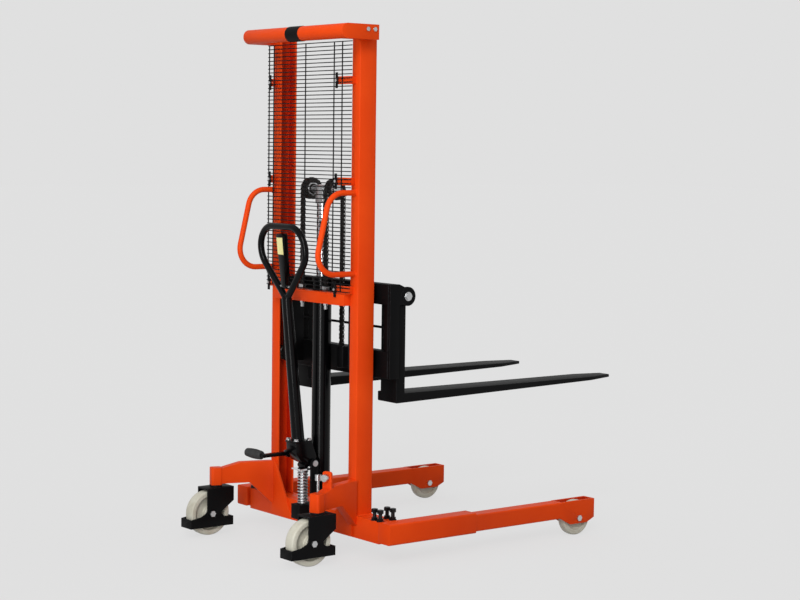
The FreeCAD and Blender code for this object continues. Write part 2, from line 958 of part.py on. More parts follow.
def chain_wheel():
    bore = s.wheel_axle_radius + s.running_gap
    points = [
        (bore, -wheel_half), (s.wheel_rim, -wheel_half),
        (s.wheel_rim, -groove_half), (s.wheel_groove, -groove_half),
        (s.wheel_groove, groove_half), (s.wheel_rim, groove_half),
        (s.wheel_rim, wheel_half), (bore, wheel_half),
    ]
    return turned("y", (s.lift_place, s.chain_side, s.wheel_height), points)


chain_wheel_left = chain_wheel()
finish("piston_rod", piston_rod())
finish("crosshead_yoke", crosshead_yoke())
finish("wheel_axle", wheel_axle())
finish("chain_wheels", chain_wheel_left, mirrored(chain_wheel_left))

# Lift chains: a fixed run behind the wheels, the turn over them and a run down to the carriage.
lug_top = s.carriage_floor + s.lower_bar_height
chain_depths = (float(s.chain_waist), float(s.chain_half_depth))


def chain_solid(outer, inner):
    face = Part.Face(Part.makePolygon(outer + inner[::-1] + outer[:1]))
    solid = face.extrude(FreeCAD.Vector(0, float(s.chain_width), 0))
    return shaped(solid)


def chain_run(place_x, low, high):
    length = float(high) - float(low)
    steps = round(length / float(s.chain_pitch)) * 2
    near = float(s.chain_side) - float(s.chain_width) / 2
    sides = ([], [])
    for step in range(steps + 1):
        height = float(low) + length * step / steps
        for side, sign in zip(sides, (1, -1)):
            side.append(FreeCAD.Vector(float(place_x) + sign * chain_depths[step % 2], near, height))
    return chain_solid(*sides)


def chain_wrap():
    radius = float(s.chain_radius)
    steps = round(math.pi * radius / float(s.chain_pitch)) * 2
    near = float(s.chain_side) - float(s.chain_width) / 2
    sides = ([], [])
    for step in range(steps + 1):
        angle = math.pi * step / steps
        for side, sign in zip(sides, (1, -1)):
            reach = radius + sign * chain_depths[step % 2]
            place_x = float(s.lift_place) + reach * math.cos(angle)
            side.append(FreeCAD.Vector(place_x, near, float(s.wheel_height) + reach * math.sin(angle)))
    return chain_solid(*sides)


chain_pieces = {
    "chain_rear_runs": chain_run(chain_rear, crossbar_top + s.anchor_clevis, s.wheel_height),
    "chain_wraps": chain_wrap(),
    "chain_front_runs": chain_run(s.lift_place + s.chain_radius, lug_top, s.wheel_height),
}
for label, thing in chain_pieces.items():
    finish(label, thing, mirrored(thing))

# Carriage: two bars with uprights between, side plates that reach back between the masts, and chain lugs.
carriage_front = s.carriage_face + s.carriage_bar_depth
bar_span = (s.carriage_face, carriage_front)
full_width = (-s.carriage_half, s.carriage_half)
carriage_crest = s.carriage_floor + s.carriage_top
plate_foot = s.carriage_floor + s.plate_floor
top_bar_floor = carriage_crest - s.top_bar_height
shaft_level = top_bar_floor + s.shaft_height
plate_outer = s.plate_inner + s.plate_wall
shaft_axis = (s.shaft_place, shaft_level)
end_face = s.carriage_half + s.end_plate_wall


def carriage_plate():
    points = [
        (s.carriage_rear, plate_foot), (s.carriage_face, plate_foot),
        (s.carriage_face, carriage_crest), (s.carriage_rear, carriage_crest),
    ]
    return prism("xz", points, (s.plate_inner, plate_outer), s.plate_round, [0, 3])


def fork_end_plate():
    points = [
        (s.carriage_face, s.carriage_floor), (carriage_front, s.carriage_floor),
        (carriage_front, top_bar_floor), (s.shaft_place, shaft_level - s.ear_radius),
        (s.shaft_place, shaft_level + s.ear_radius), (carriage_front, carriage_crest),
        (s.carriage_face, carriage_crest),
    ]
    span = (s.carriage_half, end_face)
    through = (s.carriage_half - s.overrun, end_face + s.overrun)
    plate = fuse(prism("xz", points, span), rod("y", shaft_axis, span, s.ear_radius))
    return cut(plate, rod("y", shaft_axis, through, s.shaft_stud + s.running_gap))


def fork_shaft():
    return fuse(
        rod("y", shaft_axis, full_width, s.shaft_radius),
        rod("y", shaft_axis, (-end_face, end_face), s.shaft_stud),
        hexagon("y", shaft_axis, (end_face, end_face + s.shaft_bolt_head), s.shaft_bolt_radius),
        hexagon("y", shaft_axis, (-end_face - s.shaft_bolt_head, -end_face), s.shaft_bolt_radius),
    )


upright = block(bar_span, (s.carriage_half - s.upright_width, s.carriage_half), (lug_top, top_bar_floor))
chain_lug = block(
    (s.carriage_face - s.lug_depth, s.carriage_face),
    (s.chain_side - s.lug_width / 2, s.chain_side + s.lug_width / 2),
    (plate_foot, lug_top),
)
end_plate = fork_end_plate()
tie_reach = s.carriage_half - s.upright_width
tie_axis = (s.carriage_face + s.carriage_bar_depth / 2, lug_top + s.tie_rod_height)
finish("carriage_top_bar", block(bar_span, full_width, (top_bar_floor, carriage_crest)))
finish("carriage_lower_bar", fuse(
    block(bar_span, full_width, (s.carriage_floor, lug_top)),
    chain_lug,
    mirrored(chain_lug),
))
finish("carriage_uprights", upright, mirrored(upright))
plate = carriage_plate()
finish("carriage_plates", plate, mirrored(plate))
finish("fork_end_plates", end_plate, mirrored(end_plate))
finish("fork_shaft", fork_shaft())
finish("tie_rod", rod("y", tie_axis, (-tie_reach, tie_reach), s.tie_rod_radius))

# Guide rollers on stubs, running in the mast channels.
roller_outer = s.roller_inner + s.roller_width
roller_levels = {
    "upper_rollers": carriage_crest - s.roller_upper,
    "lower_rollers": plate_foot + s.roller_lower,
}


def roller_stub(height):
    axis = (s.mast_depth / 2, height)
    cap = roller_outer + s.side_gap
    return fuse(
        rod("y", axis, (plate_outer, cap), s.roller_stub),
        rod("y", axis, (plate_outer, s.roller_inner - s.side_gap), s.roller_cap),
        rod("y", axis, (cap, cap + s.roller_cap_wall), s.roller_cap),
    )


def guide_roller(height):
    bore = s.roller_stub + s.running_gap
    half = s.roller_width / 2
    shoulder = s.roller_radius - s.roller_edge
    points = [
        (bore, -half), (shoulder, -half), (s.roller_radius, s.roller_edge - half),
        (s.roller_radius, half - s.roller_edge), (shoulder, half), (bore, half),
    ]
    return turned("y", (s.mast_depth / 2, s.roller_inner + half, height), points)


stubs = [roller_stub(height) for height in roller_levels.values()]
finish("roller_stubs", *stubs, *[mirrored(thing) for thing in stubs])
for label, height in roller_levels.items():
    roller = guide_roller(height)
    finish(label, roller, mirrored(roller))


# Forks: a shank hung on the shaft by an eye, and a tapered blade that is a little wider.
fork_middle = s.carriage_half - s.fork_side


def fork():
    back = carriage_front + s.side_gap
    breast = back + s.fork_shank
    half = s.fork_width / 2
    span = (fork_middle - half, fork_middle + half)
    points = [
        (back, s.fork_top - s.fork_heel), (s.fork_tip, s.fork_top - s.fork_point), (s.fork_tip, s.fork_top),
        (breast, s.fork_top), (breast, shaft_level), (back, shaft_level),
    ]
    through = (span[0] - s.overrun, span[1] + s.overrun)
    blank = fuse(
        prism("xz", points, span, s.fork_heel_round, [0]),
        rod("y", shaft_axis, span, s.fork_eye),
    )
    trims = []
    for sign in (1, -1):
        edge = fork_middle + half * sign
        beyond = edge + s.overrun * sign
        inset = fork_middle + s.fork_tip_width / 2 * sign
        corner = [
            (s.fork_tip - s.fork_tip_taper, edge), (s.fork_tip, inset), (s.fork_tip + s.overrun, inset),
            (s.fork_tip + s.overrun, beyond), (s.fork_tip - s.fork_tip_taper, beyond),
        ]
        trims.append(prism("xy", corner, (s.fork_top - s.fork_heel, s.fork_top + s.overrun)))
    trims.append(block(
        (back - s.overrun, s.shaft_place + s.fork_eye + s.overrun),
        (through[0], span[0] + s.fork_shank_inset),
        (s.fork_top, shaft_level + s.fork_eye + s.overrun),
    ))
    return cut(blank, rod("y", shaft_axis, through, s.shaft_radius + s.running_gap), *trims)


both_sides("fork", fork())


# Straddle legs, adjustable in width: a cross tube slides in the base beam.
leg_middle = s.leg_inner + s.leg_width / 2
load_axle_place = s.nose_seam + s.load_radius + s.load_place
load_axis = (load_axle_place, s.load_radius)
nose_end = load_axle_place + s.load_radius + s.nose_front
nose_top = s.nose_floor + s.nose_height


def tube(y, z, span, round_radius):
    points = [(y[0], z[0]), (y[1], z[0]), (y[1], z[1]), (y[0], z[1])]
    return prism("yz", points, span, round_radius)


def leg():
    outer = s.leg_inner + s.leg_width
    top = s.leg_floor + s.leg_height
    wall = s.leg_wall
    rear = cut(
        tube((s.leg_inner, outer), (s.leg_floor, top), (-s.leg_rear, s.leg_step), s.leg_round),
        block(
            (wall - s.leg_rear, s.leg_step - wall),
            (s.leg_inner + wall, outer - wall),
            (s.leg_floor + wall, top - wall),
        ),
    )
    near = leg_middle - s.nose_width / 2
    far = leg_middle + s.nose_width / 2
    nose = cut(
        tube((near, far), (s.nose_floor, nose_top), (s.leg_step - wall, s.nose_seam), s.nose_round),
        block(
            (s.leg_step, s.nose_seam - wall),
            (near + wall, far - wall),
            (s.nose_floor + wall, nose_top - wall),
        ),
    )
    points = [
        (s.nose_seam - wall, s.nose_floor), (load_axle_place - s.nose_belly_half, s.nose_belly),
        (load_axle_place + s.nose_belly_half, s.nose_belly), (nose_end, s.nose_lip),
        (nose_end, nose_top), (s.nose_seam - wall, nose_top),
    ]
    cheeks = [prism("xz", points, (near, near + s.nose_wall)), prism("xz", points, (far - s.nose_wall, far))]
    cap = block((nose_end - s.nose_wall, nose_end), (near, far), (s.nose_lip, nose_top))
    inset = s.beam_wall + s.side_gap
    cross = cut(
        block(
            (inset, s.beam_depth - inset),
            (s.cross_inner, s.leg_inner + wall),
            (s.beam_floor + inset, beam_top - inset),
        ),
        block(
            (inset + s.cross_wall, s.beam_depth - inset - s.cross_wall),
            (s.cross_inner - s.overrun, s.leg_inner),
            (s.beam_floor + inset + s.cross_wall, beam_top - inset - s.cross_wall),
        ),
    )
    bore = rod("y", load_axis, (near - s.overrun, far + s.overrun), s.load_axle_radius + s.running_gap)
    return cut(fuse(rear, nose, *cheeks, cap, cross), bore)


def axle_bolt(axis, span, radius):
    return fuse(
        rod("y", axis, span, radius),
        hexagon("y", axis, (span[0] - s.axle_head, span[0]), s.axle_head_radius),
        hexagon("y", axis, (span[1], span[1] + s.axle_head), s.axle_head_radius),
    )


def running_wheel(centre, bore, hub, rim, radius, width, web, edge):
    half = width / 2
    points = [
        (bore, -half), (hub, -half), (hub, -web / 2), (rim, -web / 2), (rim, -half), (radius - edge, -half),
        (radius, edge - half), (radius, half - edge), (radius - edge, half), (rim, half), (rim, web / 2),
        (hub, web / 2), (hub, half), (bore, half),
    ]
    return turned("y", centre, points)


nose_span = (leg_middle - s.nose_width / 2, leg_middle + s.nose_width / 2)
both_sides("leg", leg())
both_sides("load_axle", axle_bolt(load_axis, nose_span, s.load_axle_radius))
both_sides("load_wheel", running_wheel(
    (load_axle_place, leg_middle, s.load_radius), s.load_axle_radius + s.running_gap,
    s.load_hub, s.load_rim, s.load_radius, s.load_width, s.load_web, s.load_edge,
))

# Swivel casters with a foot guard round the wheel.
caster_near = s.caster_side - s.caster_half
caster_far = s.caster_side + s.caster_half
caster_width = (caster_near, caster_far)
caster_axis = (-(s.caster_setback + s.caster_trail), s.caster_radius)
swivel_axis = (-s.caster_setback, s.caster_side)


def caster_fork():
    rear = -(s.caster_trail + s.skirt_half) - s.caster_setback
    front = s.skirt_half - s.caster_trail - s.caster_setback
    skirt = (s.skirt_floor, s.skirt_top)
    crown = (-s.caster_crown - s.caster_setback, s.caster_crown - s.caster_setback)
    hub = caster_axis[0]
    points = [
        (rear, s.skirt_floor), (front, s.skirt_floor), (front, s.skirt_top),
        (hub + s.caster_front_flare, s.caster_front_flare_height),
        (hub + s.caster_waist, s.caster_waist_height),
        (crown[1], s.caster_knee), (crown[1], caster_crest), (crown[0], caster_crest),
        (crown[0], s.caster_rear_knee), (hub - s.caster_rear_flare, s.caster_rear_flare_height),
        (rear, s.skirt_top),
    ]
    flares = [3, 4, 8, 9]
    body = fuse(
        prism("xz", points, (caster_near, caster_near + s.caster_wall), s.caster_flare_round, flares),
        prism("xz", points, (caster_far - s.caster_wall, caster_far), s.caster_flare_round, flares),
        block(crown, caster_width, (caster_crest - s.caster_plate, caster_crest)),
        block((rear, rear + s.caster_wall), caster_width, skirt),
        block((front - s.caster_wall, front), caster_width, skirt),
        rod("z", swivel_axis, (caster_crest, socket_foot - s.side_gap), s.race_radius),
    )
    through = (caster_near - s.overrun, caster_far + s.overrun)
    return cut(body, rod("y", caster_axis, through, s.caster_axle_radius + s.running_gap))


def caster_stem():
    span = (socket_foot - s.side_gap, socket_crest - s.socket_cap - s.side_gap)
    return rod("z", swivel_axis, span, s.stem_radius)


both_sides("caster_fork", caster_fork())
both_sides("caster_pins", group([
    caster_stem(),
    axle_bolt(caster_axis, caster_width, s.caster_axle_radius),
]))
both_sides("caster_wheel", running_wheel(
    (-(s.caster_setback + s.caster_trail), s.caster_side, s.caster_radius),
    s.caster_axle_radius + s.running_gap,
    s.caster_hub, s.caster_rim, s.caster_radius, s.caster_width, s.caster_web, s.caster_edge,
))

# Hand pump: block on the beam with ears for the tiller pin, plunger, spring, pressure plate and release valve.
pump_crest = s.pump_floor + s.pump_top
pivot_level = pump_crest + s.pivot_height
plunger_end = pump_crest - s.plunger_foot
well_floor = s.pump_floor + s.plunger_well
plate_underside = pivot_level - s.plate_floor_height
valve_boss_foot = pump_crest + s.valve_boss_floor
seat_crest = pivot_level + s.seat_top
seat_back_level = pivot_level + s.seat_back_height
seat_heel_level = pivot_level + s.seat_heel_height
seat_toe_level = pivot_level - s.seat_toe_height
seat_breast_level = pivot_level + s.seat_breast_height
shaft_foot_level = pivot_level + s.shaft_foot_height
pedal_level = pivot_level + s.pedal_boss_height
pivot_axis = (-s.pivot_setback, pivot_level)
plunger_axis = (-s.plunger_setback, 0)
plate_top = plate_underside + s.pressure_plate_wall


def pump_block():
    ear_span = (s.ear_half - s.pump_ear_wall, s.ear_half)
    ear = fuse(
        block((-s.pump_ear_depth, 0), ear_span, (s.pump_floor, pivot_level)),
        rod("y", pivot_axis, ear_span, s.pump_ear_depth / 2),
    )
    body = fuse(
        block((-s.pump_rear, 0), (-s.pump_half, s.pump_half), (s.pump_floor, pump_crest)),
        block((-s.pump_ear_depth, 0), (-s.ear_half, s.ear_half), (s.pump_floor, pump_crest)),
        ear,
        mirrored(ear),
        block(
            (-s.valve_setback - s.valve_disc, s.valve_disc - s.valve_setback),
            (-s.valve_side - s.valve_disc, s.pump_ear_wall - s.ear_half),
            (valve_boss_foot, valve_boss_foot + s.valve_boss_height),
        ),
    )
    through = (-s.ear_half - s.overrun, s.ear_half + s.overrun)
    return cut(
        body,
        rod("z", plunger_axis, (well_floor, pump_crest + s.overrun), s.plunger_radius + s.running_gap),
        rod("y", pivot_axis, through, s.pivot_radius + s.running_gap),
    )


def pivot_pin():
    end = s.ear_half + s.pivot_head
    return fuse(
        rod("y", pivot_axis, (-end, end), s.pivot_radius),
        rod("y", pivot_axis, (s.ear_half, end), s.pivot_head_radius),
        rod("y", pivot_axis, (-end, -s.ear_half), s.pivot_head_radius),
    )


def release_valve():
    points = [
        (0, 0), (s.valve_disc, 0), (s.valve_disc, s.valve_disc_wall), (s.valve_stem, s.valve_disc_wall),
        (s.valve_stem, s.valve_cap_rise), (s.valve_cap, s.valve_cap_rise), (s.valve_cap, s.valve_height),
        (0, s.valve_height),
    ]
    return turned("z", (-s.valve_setback, -s.valve_side, valve_boss_foot + s.valve_boss_height), points)


pressure_plate = block(
    (-s.pressure_plate_rear, -s.pressure_plate_front),
    (-s.pressure_plate_half, s.pressure_plate_half),
    (plate_underside, plate_top),
)
finish("pump_block", pump_block())
finish("pivot_pin", pivot_pin(), release_valve())
finish("plunger", fuse(
    rod("z", plunger_axis, (plunger_end, plate_underside), s.plunger_radius),
    pressure_plate,
))


# Return spring round the plunger: one unbroken wire whose ends stand square on the block and under the plate.
def joined_arcs(start, heading, end, end_heading):
    across = end - start
    both = heading + end_heading
    spread = 2 * (1 - heading.dot(end_heading))
    lean = across.dot(both)
    reach = (math.sqrt(lean ** 2 + spread * across.dot(across)) - lean) / spread
    meeting = (start + end + (heading - end_heading) * reach) / 2
    arcs = []
    for first, corner, last in (
        (start, start + heading * reach, meeting),
        (meeting, end - end_heading * reach, end),
    ):
        middle = (first + last) / 2
        half = (last - first).Length / 2
        angle = math.acos(half / reach)
        crest = middle + (corner - middle).normalize() * half * math.tan(angle / 2)
        arcs.append(Part.Arc(first, crest, last).toShape())
    return arcs


def return_spring():
    radius = float(s.spring_radius)
    wire = float(s.spring_wire) * 2
    low = float(pump_crest)
    high = float(plate_underside)
    rise = float(s.spring_rise)
    pitch = (high - low - 2 * (wire + rise)) / spring_turns
    lead = math.radians(spring_lead)
    slope = pitch / (2 * math.pi)
    centre = FreeCAD.Vector(-float(s.plunger_setback), 0, 0)
    up = FreeCAD.Vector(0, 0, 1)

    def ring_point(angle, height):
        return centre + FreeCAD.Vector(radius * math.cos(angle), radius * math.sin(angle), height)

    def ring_heading(angle):
        return FreeCAD.Vector(-radius * math.sin(angle), radius * math.cos(angle), slope).normalize()

    stations = [(ring_point(0, low + wire), up)]
    for step in range(2 * spring_turns + 1):
        angle = lead + math.pi * step
        stations.append((ring_point(angle, low + wire + rise + pitch * step / 2), ring_heading(angle)))
    last_angle = 2 * lead + 2 * math.pi * spring_turns
    stations.append((ring_point(last_angle, high - wire), up))
    edges = [Part.LineSegment(ring_point(0, low), stations[0][0]).toShape()]
    for (start, heading), (end, end_heading) in zip(stations, stations[1:]):
        edges += joined_arcs(start, heading, end, end_heading)
    edges.append(Part.LineSegment(stations[-1][0], ring_point(last_angle, high)).toShape())
    path = Part.Wire(edges)
    points = path.discretize(Distance=wire / 2)
    apart = round(math.pi * radius / (wire / 2))
    nearest = min(
        (points[late] - points[early]).Length
        for early in range(len(points))
        for late in range(early + apart, len(points))
    )
    print("return_spring least gap to itself, mm:", round(nearest - wire, 2))
    return shaped(swept(path, s.spring_wire))


finish("return_spring", return_spring())

# Tiller: seat casting on the pin, shaft and hand loop, leaning back a little.
tiller_frame = FreeCAD.Placement(
    FreeCAD.Vector(-float(s.shaft_foot_setback), 0, float(shaft_foot_level)),
    FreeCAD.Rotation(FreeCAD.Vector(0, 1, 0), -tiller_lean),
)
lever_axis = (0, s.loop_rise + s.lever_foot)


def tiller_loop():
    base = s.loop_rise
    path = [
        (0, 0, base),
        (0, s.loop_half, base + s.loop_side_rise),
        (0, s.loop_shoulder, base + s.loop_top),
        (0, -s.loop_shoulder, base + s.loop_top),
        (0, -s.loop_half, base + s.loop_side_rise),
    ]
    radii = [s.loop_crotch] + [s.loop_bend for corner in path[1:]]
    return group([shaped(swept(bent_wire(path, radii, True), s.loop_tube))], tiller_frame)


def tiller_shaft(loop):
    shaft = taper("z", (0, 0), (0, s.tiller_length), s.tiller_foot_radius, s.tiller_head_radius)
    return cut(group([shaft], tiller_frame), loop)


def tiller_seat(shaft):
    points = [
        (-s.seat_toe, seat_toe_level), (-s.seat_breast, seat_breast_level),
        (-s.seat_crown_front, seat_crest), (-s.seat_crown_rear, seat_crest),
        (-s.seat_back, seat_back_level), (-s.seat_heel, seat_heel_level),
    ]
    span = (-s.seat_half, s.seat_half)
    cam_axis = (-s.plunger_setback, plate_top + s.cam_radius + s.side_gap)
    casting = fuse(
        prism("xz", points, span),
        rod("y", pivot_axis, span, s.pivot_boss),
        rod("y", cam_axis, (-s.cam_half, s.cam_half), s.cam_radius),
    )
    through = (-s.seat_half - s.overrun, s.seat_half + s.overrun)
    return cut(casting, rod("y", pivot_axis, through, s.pivot_radius + s.running_gap), shaft)


def release_lever():
    half = s.lever_width / 2
    foot_half = s.lever_foot_width / 2
    foot = s.loop_rise + s.lever_foot
    top = foot + s.lever_length
    depth = (-s.lever_depth / 2, s.lever_depth / 2)
    rim = [(-foot_half, foot), (foot_half, foot), (half, top), (-half, top)]
    hollow = [
        (s.lever_wall - foot_half, foot + s.lever_boss), (foot_half - s.lever_wall, foot + s.lever_boss),
        (half - s.lever_wall, top - s.lever_wall), (s.lever_wall - half, top - s.lever_wall),
    ]
    lever = fuse(
        cut(
            prism("yz", rim, depth, s.lever_round, [2, 3]),
            prism("yz", hollow, (depth[0] + s.lever_wall, depth[1] + s.overrun)),
        ),
        rod("y", lever_axis, (-foot_half, foot_half), s.lever_boss),
    )
    through = (-half - s.overrun, half + s.overrun)
    return group([cut(lever, rod("y", lever_axis, through, s.lever_pin + s.running_gap))], tiller_frame)


def lever_pin(loop):
    pin = rod("y", lever_axis, (-s.lever_width, s.lever_width), s.lever_pin)
    return cut(group([pin], tiller_frame), loop)


def label_plate():
    back = -s.lever_depth / 2
    floor = s.loop_rise + s.lever_foot + s.label_rise
    plate = block(
        (back - s.label_wall, back),
        (-s.label_width / 2, s.label_width / 2),
        (floor, floor + s.label_height),
    )
    return group([plate], tiller_frame)


loop = tiller_loop()
shaft = tiller_shaft(loop)
finish("tiller_seat", tiller_seat(shaft))
finish("tiller_shaft", shaft)
finish("tiller_loop", loop)
finish("release_lever", release_lever())
finish("label_plate", label_plate())

# Foot pedal on a pin in the side of the seat, with a rubber pad on its peg.
pedal_axis = (-s.pedal_boss_setback, pedal_level)
pedal_width = (s.pedal_side - s.pedal_arm_width / 2, s.pedal_side + s.pedal_arm_width / 2)
peg_axis = (-s.pedal_reach, pedal_level)


def foot_pedal():
    half = s.pedal_arm_height / 2
    arm = fuse(
        rod("y", pedal_axis, pedal_width, s.pedal_boss_radius),
        block(
            (-s.pedal_reach, -s.pedal_boss_setback),
            pedal_width,
            (pedal_level - half, pedal_level + half),
        ),
        rod("y", peg_axis, (pedal_width[0], pedal_width[1] + s.pad_length - s.pad_cap), s.pedal_peg),
    )
    through = (pedal_width[0] - s.overrun, pedal_width[1] + s.overrun)
    return cut(arm, rod("y", pedal_axis, through, s.pedal_pin + s.running_gap))


def pedal_pin():
    seat = pedal_width[1] + s.side_gap
    end = seat + s.pivot_head
    return fuse(
        rod("y", pedal_axis, (s.seat_half, end), s.pedal_pin),
        rod("y", pedal_axis, (seat, end), s.pivot_head_radius),
    )


def pedal_pad():
    shoulder = s.pad_radius - s.pad_round
    points = [
        (s.pedal_peg, 0), (shoulder, 0), (s.pad_radius, s.pad_round),
        (s.pad_radius, s.pad_length - s.pad_round), (shoulder, s.pad_length), (0, s.pad_length),
        (0, s.pad_length - s.pad_cap), (s.pedal_peg, s.pad_length - s.pad_cap),
    ]
    return turned("y", (-s.pedal_reach, pedal_width[1], pedal_level), points)


finish("foot_pedal", foot_pedal())
finish("tiller_pins", lever_pin(loop), pedal_pin())
finish("pedal_pad", pedal_pad())

# Every piece is checked before it is written.
doc.recompute()
faults = [thing.Label for thing in doc.Objects if "Invalid" in thing.State or "Error" in thing.State]
for thing in finished:
    shape = thing.Shape
    if shape.isNull() or not shape.isValid() or not shape.Solids:
        faults.append(thing.Label)
if faults:
    raise RuntimeError(f"faulty pieces: {faults}")
os.makedirs("parts", exist_ok=True)
for thing in finished:
    thing.Shape.exportStep(f"parts/{thing.Label}.step")
print("pieces written:", len(finished))
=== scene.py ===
import bpy
import bmesh
import json
import math
from mathutils import Matrix, Vector


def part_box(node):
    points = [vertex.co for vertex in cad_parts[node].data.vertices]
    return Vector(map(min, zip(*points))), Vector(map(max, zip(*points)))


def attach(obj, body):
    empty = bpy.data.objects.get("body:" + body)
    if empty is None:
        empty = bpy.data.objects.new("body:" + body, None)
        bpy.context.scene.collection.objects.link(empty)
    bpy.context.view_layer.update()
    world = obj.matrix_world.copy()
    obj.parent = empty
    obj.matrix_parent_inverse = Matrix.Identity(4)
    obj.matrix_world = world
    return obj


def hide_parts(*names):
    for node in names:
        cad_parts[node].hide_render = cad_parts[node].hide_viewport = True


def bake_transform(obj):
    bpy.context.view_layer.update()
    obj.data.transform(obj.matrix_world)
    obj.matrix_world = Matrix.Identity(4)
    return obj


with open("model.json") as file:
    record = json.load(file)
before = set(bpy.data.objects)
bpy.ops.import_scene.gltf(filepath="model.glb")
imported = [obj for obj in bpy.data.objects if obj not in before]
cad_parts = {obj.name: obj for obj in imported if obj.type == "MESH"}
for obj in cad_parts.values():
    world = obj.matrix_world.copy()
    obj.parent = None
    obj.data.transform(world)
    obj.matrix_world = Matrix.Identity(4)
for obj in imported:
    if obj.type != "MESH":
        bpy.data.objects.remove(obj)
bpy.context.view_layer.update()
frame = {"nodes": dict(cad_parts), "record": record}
nodes = frame["nodes"]
scene = bpy.context.scene
mastX = -0.476  # rear face of the mast in the row frame; places below are counted from it
print("frame loaded:", len(nodes), "nodes")


def linear(hexText, alpha=1.0):
    channels = [int(hexText[i:i + 2], 16) / 255 for i in (1, 3, 5)]
    return [c / 12.92 if c <= 0.04045 else ((c + 0.055) / 1.055) ** 2.4 for c in channels] + [alpha]


def addNode(tree, kind, settings, inputs):
    node = tree.nodes.new(kind)
    for name, value in settings.items():
        setattr(node, name, value)
    for socket, value in inputs.items():
        if isinstance(value, bpy.types.NodeSocket):
            tree.links.new(value, node.inputs[socket])
        else:
            node.inputs[socket].default_value = value
    return node


def startMaterial(name):
    material = bpy.data.materials.new(name)
    material.use_nodes = True
    tree = material.node_tree
    shader = tree.nodes["Principled BSDF"]
    place = addNode(tree, "ShaderNodeTexCoord", {}, {}).outputs["Object"]
    return material, tree, shader, place


def perMetre(millimetres):
    return 1000 / millimetres  # noise scale for a feature of that size


def steps(tree, factor, stops):
    ramp = addNode(tree, "ShaderNodeValToRGB", {}, {"Fac": factor})
    ramp.color_ramp.elements[0].position = stops[0][0]
    ramp.color_ramp.elements[0].color = stops[0][1]
    ramp.color_ramp.elements[1].position = stops[-1][0]
    ramp.color_ramp.elements[1].color = stops[-1][1]
    for position, colour in stops[1:-1]:
        ramp.color_ramp.elements.new(position).color = colour
    return ramp.outputs["Color"]


def edgeMask(tree, radius, low, high):
    # 0 on flat faces, 1 on corners: the face normal against the same normal rounded over the corner
    flat = addNode(tree, "ShaderNodeNewGeometry", {}, {}).outputs["Normal"]
    soft = addNode(tree, "ShaderNodeBevel", {"samples": 4}, {"Radius": radius}).outputs["Normal"]
    dot = addNode(tree, "ShaderNodeVectorMath", {"operation": "DOT_PRODUCT"}, {0: flat, 1: soft}).outputs["Value"]
    return addNode(tree, "ShaderNodeMapRange", {"clamp": True},
                   {"Value": dot, "From Min": high, "From Max": low, "To Min": 0.0, "To Max": 1.0}).outputs["Result"]


# Powder coat or enamel on steel: an even colour, slightly cloudy, with orange-peel, paler worn corners that on the
# black coats are also a painted highlight, and painted shade in recesses.
coatWearAndShade = {"edgeRadius": 0.0025, "edge": (0.90, 0.995), "chips": (0.35, 0.75), "paintedRecessShade": (0.85, 0.4)}


def powderCoat(look):
    material, tree, shader, place = startMaterial(look["name"])
    cloud = addNode(tree, "ShaderNodeTexNoise", {}, {
        "Vector": place, "Scale": perMetre(look["cloudSize"]), "Detail": 3.0, "Roughness": 0.55}).outputs["Fac"]
    tone = steps(tree, cloud, [(0.3, linear(look["deep"])), (0.7, linear(look["colour"]))])
    # painted shade: inside a channel the paint is lit by its own colour, so it reads deeper there, and that deeper
    # tone is painted into the base colour
    openToLight = addNode(tree, "ShaderNodeAmbientOcclusion", {"only_local": True, "samples": 6}, {
        "Distance": look["paintedShadeReach"] / 1000}).outputs["AO"]
    paintedRecessShade = addNode(tree, "ShaderNodeMapRange", {"clamp": True}, {
        "Value": openToLight, "From Min": coatWearAndShade["paintedRecessShade"][0], "From Max": coatWearAndShade["paintedRecessShade"][1],
        "To Min": 0.0, "To Max": 1.0}).outputs["Result"]
    tone = addNode(tree, "ShaderNodeMix", {"data_type": "RGBA"}, {
        0: paintedRecessShade, 6: tone, 7: linear(look["paintedRecessShade"])}).outputs[2]
    # paler worn corners; on the black coats the pale edge colour is also a painted highlight along the corners
    wornAndGlintEdge = edgeMask(tree, coatWearAndShade["edgeRadius"], *coatWearAndShade["edge"])
    speck = addNode(tree, "ShaderNodeTexNoise", {}, {
        "Vector": place, "Scale": perMetre(look["chipSize"]), "Detail": 2.0}).outputs["Fac"]
    rubAndGlint = addNode(tree, "ShaderNodeMath", {"operation": "MULTIPLY", "use_clamp": True}, {
        0: wornAndGlintEdge, 1: addNode(tree, "ShaderNodeMapRange", {"clamp": True}, {
            "Value": speck, "From Min": coatWearAndShade["chips"][0], "From Max": coatWearAndShade["chips"][1],
            "To Min": 0.0, "To Max": look["wearAndGlintStrength"]}).outputs["Result"]}).outputs["Value"]
    mix = addNode(tree, "ShaderNodeMix", {"data_type": "RGBA"}, {0: rubAndGlint, 6: tone, 7: linear(look["edge"])})
    tree.links.new(mix.outputs[2], shader.inputs["Base Color"])
    rough = addNode(tree, "ShaderNodeMapRange", {}, {
        "Value": cloud, "To Min": look["rough"] - 0.05, "To Max": look["rough"] + 0.07}).outputs["Result"]
    tree.links.new(rough, shader.inputs["Roughness"])
    # real peel is 1-2 mm across, drawn coarser so that it shows
    peel = addNode(tree, "ShaderNodeTexNoise", {}, {
        "Vector": place, "Scale": perMetre(look["peelSize"]), "Detail": 1.0}).outputs["Fac"]
    bump = addNode(tree, "ShaderNodeBump", {}, {"Height": peel, "Strength": look["peel"], "Distance": 0.001})
    tree.links.new(bump.outputs["Normal"], shader.inputs["Normal"])
    shader.inputs["IOR"].default_value = 1.5
    shader.inputs["Specular IOR Level"].default_value = look["gloss"]
    return material


